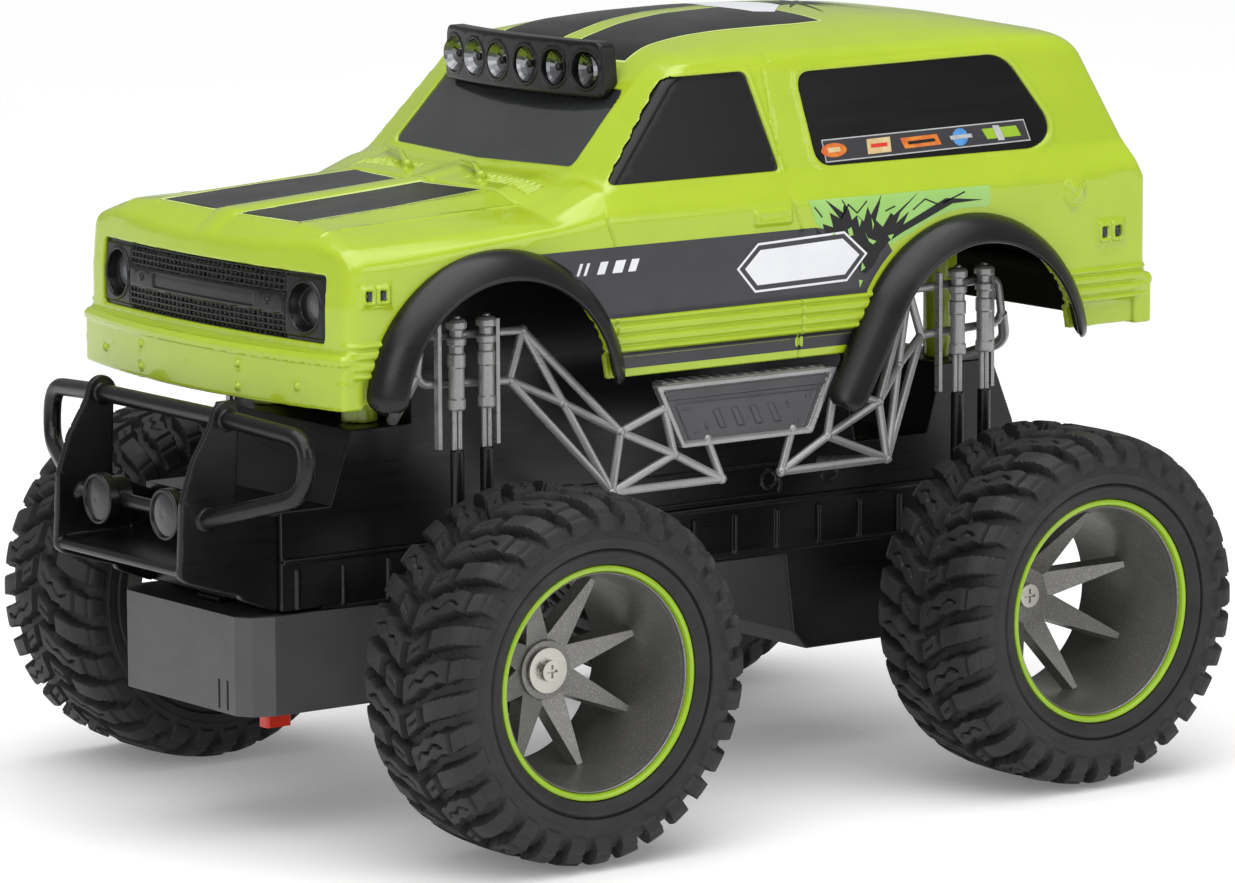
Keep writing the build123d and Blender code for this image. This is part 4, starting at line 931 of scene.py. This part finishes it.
def hull_relief(x, z):
    ribs = np.maximum(np.abs((x - 4.5) % 15.0 - 7.5) - 0.7, np.maximum(64.5 - z, z - 75.5))
    rail = np.abs(z - 78.0) - 0.8
    lower = np.abs(z - 63.6) - 0.6
    panel = np.abs(box2(x, z, (4, 84.5), (38, 4.4), 1.0)) - 0.5
    relief = raised(ribs, 0.8) + raised(rail, 0.9) + raised(lower, 0.6) + raised(panel, 0.5)
    for cx in (-52, -30, 52, 74):
        relief += raised(np.abs(np.hypot(x - cx, z - 84.5) - 2.6) - 0.5, 0.6)
    return relief


HULL = Chart((-126, 60), (140, 114), 0.3, hull_relief)


def hull_field(x, y, z):
    low = np.interp(x, (-121, -113, -108, 100, 137.4), (70, 63, 62.4, 62.4, 64.6))
    high = np.interp(x, (-121, -113, -94, -88, 88, 94, 114, 121, 137.4),
                     (92.6, 111.6, 111.6, 91.8, 91.8, 111.6, 111.6, 91.6, 91.6))
    edge = np.maximum(np.maximum(low - z, z - high) * 0.6, np.maximum(x - 137.0, -120.6 - x))
    return smax(edge, np.abs(y) - 34.05 - HULL(x, z), 0.5)


def hull_side(k):
    return carved(f"hull_{k}", lambda x, y, z: np.maximum(hull_field(x, y, z), 33.6 - k * y),
                  (-124, min(k * 33, k * 36), 60), (140, max(k * 33, k * 36), 114), pick(0.55),
                  BLACK, 0.05)


fitted("black_plastic", joined("hull_sides", [hull_side(k) for k in (-1, 1)]))


# Decals

FILM_GAP, FILM_STEP = 0.05, 0.035
BOTH, ROOF_HEIGHTS = ("left", "right"), (224.0, 195.0)


def filled(outline, spacing):
    """An outline cut into triangles no larger than about the spacing."""
    outline = np.array(outline, float)
    ring = []
    for p, q in zip(outline, np.roll(outline, -1, axis=0)):
        steps = max(1, int(math.dist(p, q) / spacing))
        ring += [p + (q - p) * t / steps for t in range(steps)]
    ring = np.array(ring)
    low, high = ring.min(0), ring.max(0)
    gx, gy = np.meshgrid(np.arange(low[0], high[0], spacing), np.arange(low[1], high[1], spacing))
    inside = np.stack((gx.ravel() + 0.137, gy.ravel() + 0.091), 1)
    ends = np.roll(ring, -1, axis=0)
    crossing = (ring[:, 1] > inside[:, None, 1]) != (ends[:, 1] > inside[:, None, 1])
    run, rise = (ends - ring).T
    at = ring[:, 0] + (inside[:, None, 1] - ring[:, 1]) * run / (rise + 1e-12)
    inside = inside[np.sum(crossing & (inside[:, None, 0] < at), axis=1) % 2 == 1]
    if len(inside):
        near = np.min(np.linalg.norm(inside[:, None] - ring[None], axis=2), axis=1)
        inside = inside[near > spacing * 0.45]
    points = [tuple(p) for p in np.concatenate((ring, inside))]
    flat, _, faces, _, _, _ = delaunay_2d_cdt(points, [], [list(range(len(ring)))], 1, 1e-5)
    return np.array([tuple(v) for v in flat]), np.array([f for f in faces if len(f) == 3])


def applied(field, flat, face, start, stop):
    """Points of a flat drawing brought on to a surface along +Y, -Y or Z."""
    def place(depth):
        if face == "top":
            return np.stack((flat[:, 0], flat[:, 1], depth), 1)
        return np.stack((flat[:, 0], depth * (1 if face == "left" else -1), flat[:, 1]), 1)

    depths, step = np.linspace(start, stop, 60, retstep=True)
    hit = np.full(len(flat), stop, float)
    found = np.zeros(len(flat), bool)
    for depth in depths:
        inside = (field(*place(np.full(len(flat), depth)).T) < 0) & ~found
        hit[inside] = depth
        found |= inside
    low, high = hit, hit - step
    for _ in range(14):
        middle = (low + high) / 2
        inside = field(*place(middle).T) < 0
        low, high = np.where(inside, middle, low), np.where(inside, high, middle)
    points = place((low + high) / 2)
    return points, slope(field, points, 0.35)


def decal(name, outline, layer, material, field=body_form, faces=BOTH, depths=(70.0, 40.0), spacing=1.6):
    """A thin printed film on a surface that is met between two depths, on each face that is named."""
    made = []
    flat, triangles = filled(outline, spacing)
    for face in faces:
        points, normals = applied(field, flat, face, *depths)
        points = points + normals * (FILM_GAP + FILM_STEP * layer)
        a, b, c = (points[triangles[:, k]] for k in range(3))
        turn = np.einsum("ij,ij->i", np.cross(b - a, c - a), normals[triangles[:, 0]])
        ordered = np.where(turn[:, None] < 0, triangles[:, ::-1], triangles)
        made.append(mesh_object(f"{name}_{face}", laid(points), [ordered], material, normals))
    return made


def top_decal(name, outline, layer, material, heights=ROOF_HEIGHTS):
    return decal(name, outline, layer, material, faces=["top"], depths=heights)


def printed(name, pieces, slot="dark_glazing"):
    fitted(slot, joined(name, pieces))


def grown(points, amount):
    """An outline moved outwards, for a convex or nearly convex outline."""
    points = np.array(points, float)
    area = np.sum(points[:, 0] * np.roll(points[:, 1], -1) - np.roll(points[:, 0], -1) * points[:, 1])
    before, after = np.roll(points, 1, axis=0), np.roll(points, -1, axis=0)
    e1, e2 = points - before, after - points
    n1 = np.stack((e1[:, 1], -e1[:, 0]), 1) / np.linalg.norm(e1, axis=1, keepdims=True)
    n2 = np.stack((e2[:, 1], -e2[:, 0]), 1) / np.linalg.norm(e2, axis=1, keepdims=True)
    n = (n1 + n2) / (1 + np.sum(n1 * n2, axis=1, keepdims=True))
    return points + n * amount * (1 if area > 0 else -1)


def round_arch(centre, radius, start, stop, count=14):
    return [(centre[0] + radius * math.cos(a), centre[1] + radius * math.sin(a))
            for a in np.radians(np.linspace(start, stop, count))]


def mirror_y(outline):
    return [(x, -y) for x, y in outline][::-1]


bonnet = [(130.4, 6.4), (129.6, 34.6), (100, 34.2), (67.6, 31.0), (69.0, 20.0), (70.2, 5.2)]
roof = [(21.0, 4.2), (19.6, 33.0), (0, 33.4), (-40, 33.0), (-50.0, 32.0), (-44.0, 4.2)]
edges, stripes = [], []
for number, (shape, heights) in enumerate(((bonnet, (180.0, 165.0)), (roof, ROOF_HEIGHTS))):
    for hand, outline in (("l", shape), ("r", mirror_y(shape))):
        edges += top_decal(f"edge_{number}{hand}", grown(outline, 0.8), 0, OUTLINE, heights)
        stripes += top_decal(f"stripe_{number}{hand}", outline, 1, DECAL_BLACK, heights)
printed("stripe_edges", edges, "lime_plastic")
printed("top_stripes", stripes)

band = ([(75.6, 160.5), (-22.0, 160.6), (-30.0, 159.2), (-48.0, 154.4)] + round_arch(REAR_ARCH, 44.2, 50, 31)
        + [(-39.4, 140.8), (50.0, 140.8)] + round_arch(FRONT_ARCH, 42.7, 151, 111))
skirt = [(47.0, 131.0), (-36.4, 131.0), (-36.0, 126.4), (46.0, 126.4)]
bands = decal("band", band, 1, SIDE_BLACK) + decal("skirt", skirt, 1, SIDE_BLACK)
printed("side_bands", bands)

splash = ([(-19.6, 168.3), (-85.4, 168.0), (-85.4, 162.6)] + round_arch(REAR_ARCH, 44.2, 97, 60, 10)
          + [(-44.0, 152.0), (-26.0, 158.0), (-22.0, 162.2)])
printed("splash", decal("splash", splash, 0, PATCH), "lime_plastic")
burst = [(-22.0, 160.6), (-25.7, 157.7), (-24.5, 161.5), (-28.3, 160.2), (-27.0, 164.5), (-30.6, 162.6),
         (-25.6, 168.1), (-31.9, 164.1), (-31.5, 167.9), (-33.9, 164.7), (-35.0, 161.8), (-36.8, 163.0),
         (-39.3, 161.1), (-40.6, 165.1), (-41.8, 162.7), (-45.8, 168.2), (-43.6, 161.1), (-46.1, 159.0),
         (-49.0, 162.8), (-50.1, 162.0), (-59.2, 168.0), (-52.4, 162.6), (-51.0, 159.7), (-55.6, 162.7),
         (-53.5, 159.1), (-69.0, 165.5), (-82.8, 164.1), (-71.5, 163.8), (-62.0, 160.2), (-53.5, 157.0),
         (-48.3, 154.7), (-45.2, 151.8), (-43.2, 148.7), (-40.0, 146.1), (-38.0, 147.0), (-36.0, 150.0),
         (-24.0, 152.0)]
slivers = [[(-27.4, 158.1), (-29.0, 158.7), (-29.4, 156.2)],
           [(-33.5, 159.2), (-34.8, 159.8), (-35.5, 157.5), (-34.1, 157.2)],
           [(-39.8, 158.0), (-40.4, 156.4), (-43.8, 155.1), (-42.5, 154.3), (-41.1, 155.3)],
           [(-38.6, 149.6), (-39.8, 147.9), (-38.2, 147.0)], [(-37.5, 144.7), (-38.9, 144.3), (-37.8, 142.4)],
           [(-47.9, 156.4), (-50.1, 156.7), (-49.0, 155.0)], [(-36.8, 162.7), (-38.4, 161.5), (-37.7, 159.6)],
           [(-42.0, 161.9), (-42.9, 160.1), (-42.5, 158.4)]]
cracks = [((-33.5, 166.4), (-36.9, 163.6)), ((-36.9, 163.6), (-40.4, 166.8)),
          ((-31.0, 162.4), (-33.8, 166.2)), ((-47.0, 163.4), (-50.6, 164.6)),
          ((-57.0, 163.0), (-61.5, 165.8)), ((-61.5, 165.8), (-66.0, 164.0)),
          ((-24.4, 163.4), (-21.6, 166.4)), ((-68.0, 164.2), (-76.0, 166.8))]
printed("burst", decal("burst", burst, 1.7, DECAL_BLACK, spacing=2.0))
lines = []
for k, (p, q) in enumerate(cracks):
    p, q = np.array(p), np.array(q)
    across = np.array((q[1] - p[1], p[0] - q[0])) / math.dist(p, q) * 0.22
    crack = [p - across, q - across, q + across, p + across]
    lines += decal(f"crack_{k}", crack, 1.7, DECAL_BLACK, spacing=2.4)
printed("cracks", lines)
pieces = []
for k, sliver in enumerate(slivers):
    pieces += decal(f"sliver_{k}", sliver, 2.4, PATCH, spacing=2.4)
printed("slivers", pieces, "lime_plastic")
holes = []
for x, z, size in MARKER_LAMPS:
    w, h = 1.15 * size, 1.55 * size
    hole = [(x - w, z - h), (x + w, z - h), (x + w, z + h), (x - w, z + h)]
    holes += decal("hole", hole, 1, SIDE_BLACK)
printed("marker_holes", holes)

emblem = [(-1.4, 146.0), (3.0, 150.9), (-2.4, 155.8), (-31.6, 156.8), (-37.6, 151.8), (-32.4, 146.6)]
white = decal("frame", grown(emblem, 2.0), 2, DECAL_WHITE)
black = decal("gap", grown(emblem, 1.35), 3, SIDE_BLACK)
white += decal("plate", emblem, 4, DECAL_WHITE)
for k, (x, wide) in enumerate(((59.6, 1.0), (57.2, 1.0), (52.6, 2.6), (47.4, 3.4), (42.0, 2.6))):
    tick = [(x, 156.8), (x - wide, 156.8), (x - wide + 1.4, 153.4), (x + 1.4, 153.4)]
    white += decal(f"tick_{k}", tick, 2, DECAL_WHITE)
roof_emblem = [(-34, 0), (-38, -17), (-44, -19), (-56, -6), (-57, 0), (-56, 6), (-44, 19), (-38, 17)]
white += top_decal("roof_plate", roof_emblem, 2, DECAL_WHITE)
RAYS = 16
centre = np.array((-66.0, 0.0))
for k in range(RAYS):
    angle = 2 * math.pi * k / RAYS + math.radians(8)
    way = np.array((math.cos(angle) * 1.2, math.sin(angle)))
    root = np.array((-way[1], way[0])) * 1.17
    ray = [centre + root, centre + way * (16 + 9 * (k % 2)), centre - root]
    black += top_decal(f"ray_{k}", ray, 1.5, DECAL_BLACK)
printed("white_marks", white, "lime_plastic")
printed("black_marks", black)


def pane(x, y, z):
    return cabin_field(x, y, z) + 0.6


label = [(-31.2, 177.6), (-30.4, 184.0), (-104.6, 185.0), (-106.4, 178.8)]
printed("label_edge", decal("label_edge", label, 0, SILVER, pane))
printed("label_field", decal("label", grown(label, -0.35), 1, SIDE_BLACK, pane))


def oval(x, z, half_x, half_z):
    return [(x + half_x * math.cos(a), z + half_z * math.sin(a)) for a in np.arange(0, 6.2, 0.5)]


badges = [
    (ORANGE, oval(-34.5, 180.9, 4.6, 2.0)),
    (CREAM, [(-46.5, 178.9), (-46.5, 183.1), (-55.0, 183.3), (-55.0, 179.1)]),
    (ORANGE, [(-60.0, 179.6), (-58.6, 182.6), (-72.0, 182.9), (-73.4, 179.9)]),
    (BLUE, oval(-80.5, 181.5, 2.9, 2.5)),
    (TRIM, [(-90.4, 180.2), (-88.6, 183.2), (-101.4, 183.4), (-103.0, 180.4)]),
    (SILVER, [(-94.4, 179.6), (-92.6, 183.9), (-95.0, 183.9), (-96.8, 179.6)]),
    (CREAM, [(-32.6, 180.3), (-32.2, 181.6), (-36.6, 181.7), (-37.0, 180.4)]),
    (RED, [(-47.8, 180.6), (-47.8, 181.7), (-53.8, 181.8), (-53.8, 180.7)]),
    (SILVER, [(-77.0, 180.9), (-76.6, 182.0), (-84.6, 182.2), (-85.0, 181.1)]),
    (BLACK, [(-61.5, 180.6), (-61.1, 181.5), (-71.0, 181.8), (-71.4, 180.9)]),
]
for k, (material, outline) in enumerate(badges):
    badge = decal(f"badge_{k}", outline, 2 + (k > 4), material, pane, spacing=2.0)
    printed(f"badge_{k}", badge)

# Camera, lights and floor

camera_data = bpy.data.cameras.new("camera")
camera_data.lens, camera_data.sensor_width = 192.573, 36.0
camera_data.clip_start, camera_data.clip_end = 0.05, 60.0
camera = bpy.data.objects.new("camera", camera_data)
right, up, back = (-0.80441, 0.59406, -0.00461), (-0.09459, -0.12041, 0.98821), (0.58650, 0.79536, 0.15305)
place = (1.103116, 1.511385, 0.384764)
camera.matrix_world = Matrix([(right[i], up[i], back[i], place[i]) for i in range(3)] + [(0, 0, 0, 1)])
bpy.context.scene.collection.objects.link(camera)
bpy.context.scene.camera = camera


def softbox(name, location, target, size, power):
    data = bpy.data.lights.new(name, "AREA")
    data.shape, data.size, data.size_y, data.energy = "RECTANGLE", size[0], size[1], power
    light = bpy.data.objects.new(name, data)
    light.location = location
    light.rotation_euler = (Vector(target) - light.location).to_track_quat("-Z", "Y").to_euler()
    bpy.context.scene.collection.objects.link(light)


softbox("overhead", (0.1, 0.1, 1.2), (0, 0, 0.1), (1.0, 1.4), 4.5)
softbox("front_left", (1.4, 0.9, 0.8), (0.05, 0, 0.1), (0.8, 0.8), 4.5)
softbox("side_fill", (-0.6, 1.6, 0.7), (0, 0, 0.1), (1.0, 0.8), 4.0)
sun = bpy.data.objects.new("ceiling", bpy.data.lights.new("ceiling", "SUN"))
sun.data.energy, sun.data.angle = 1.9, math.radians(80)
sun.rotation_euler = (math.radians(-12), math.radians(8), 0)
bpy.context.scene.collection.objects.link(sun)
world = bpy.data.worlds.new("studio")
world.use_nodes = True
world.node_tree.nodes["Background"].inputs["Color"].default_value = (1.0, 1.0, 1.0, 1.0)
world.node_tree.nodes["Background"].inputs["Strength"].default_value = 0.34
bpy.context.scene.world = world
bpy.context.scene.view_settings.view_transform = "Standard"

floor_finish = finish_of("floor", "F4F4F4", "F7F7F7", 0.7, grain=200, bump=0.01, patch=2)
floor_shader = floor_finish.node_tree.nodes["Principled BSDF"]
floor_shader.inputs["Emission Color"].default_value = (1.0, 1.0, 1.0, 1.0)
floor_shader.inputs["Emission Strength"].default_value = 0.16
corners = [(x, y, -0.0004) for x, y in ((-8, -8), (8, -8), (8, 8), (-8, 8))]
floor = mesh_object("floor", corners, [[(0, 1, 2, 3)]], floor_finish)
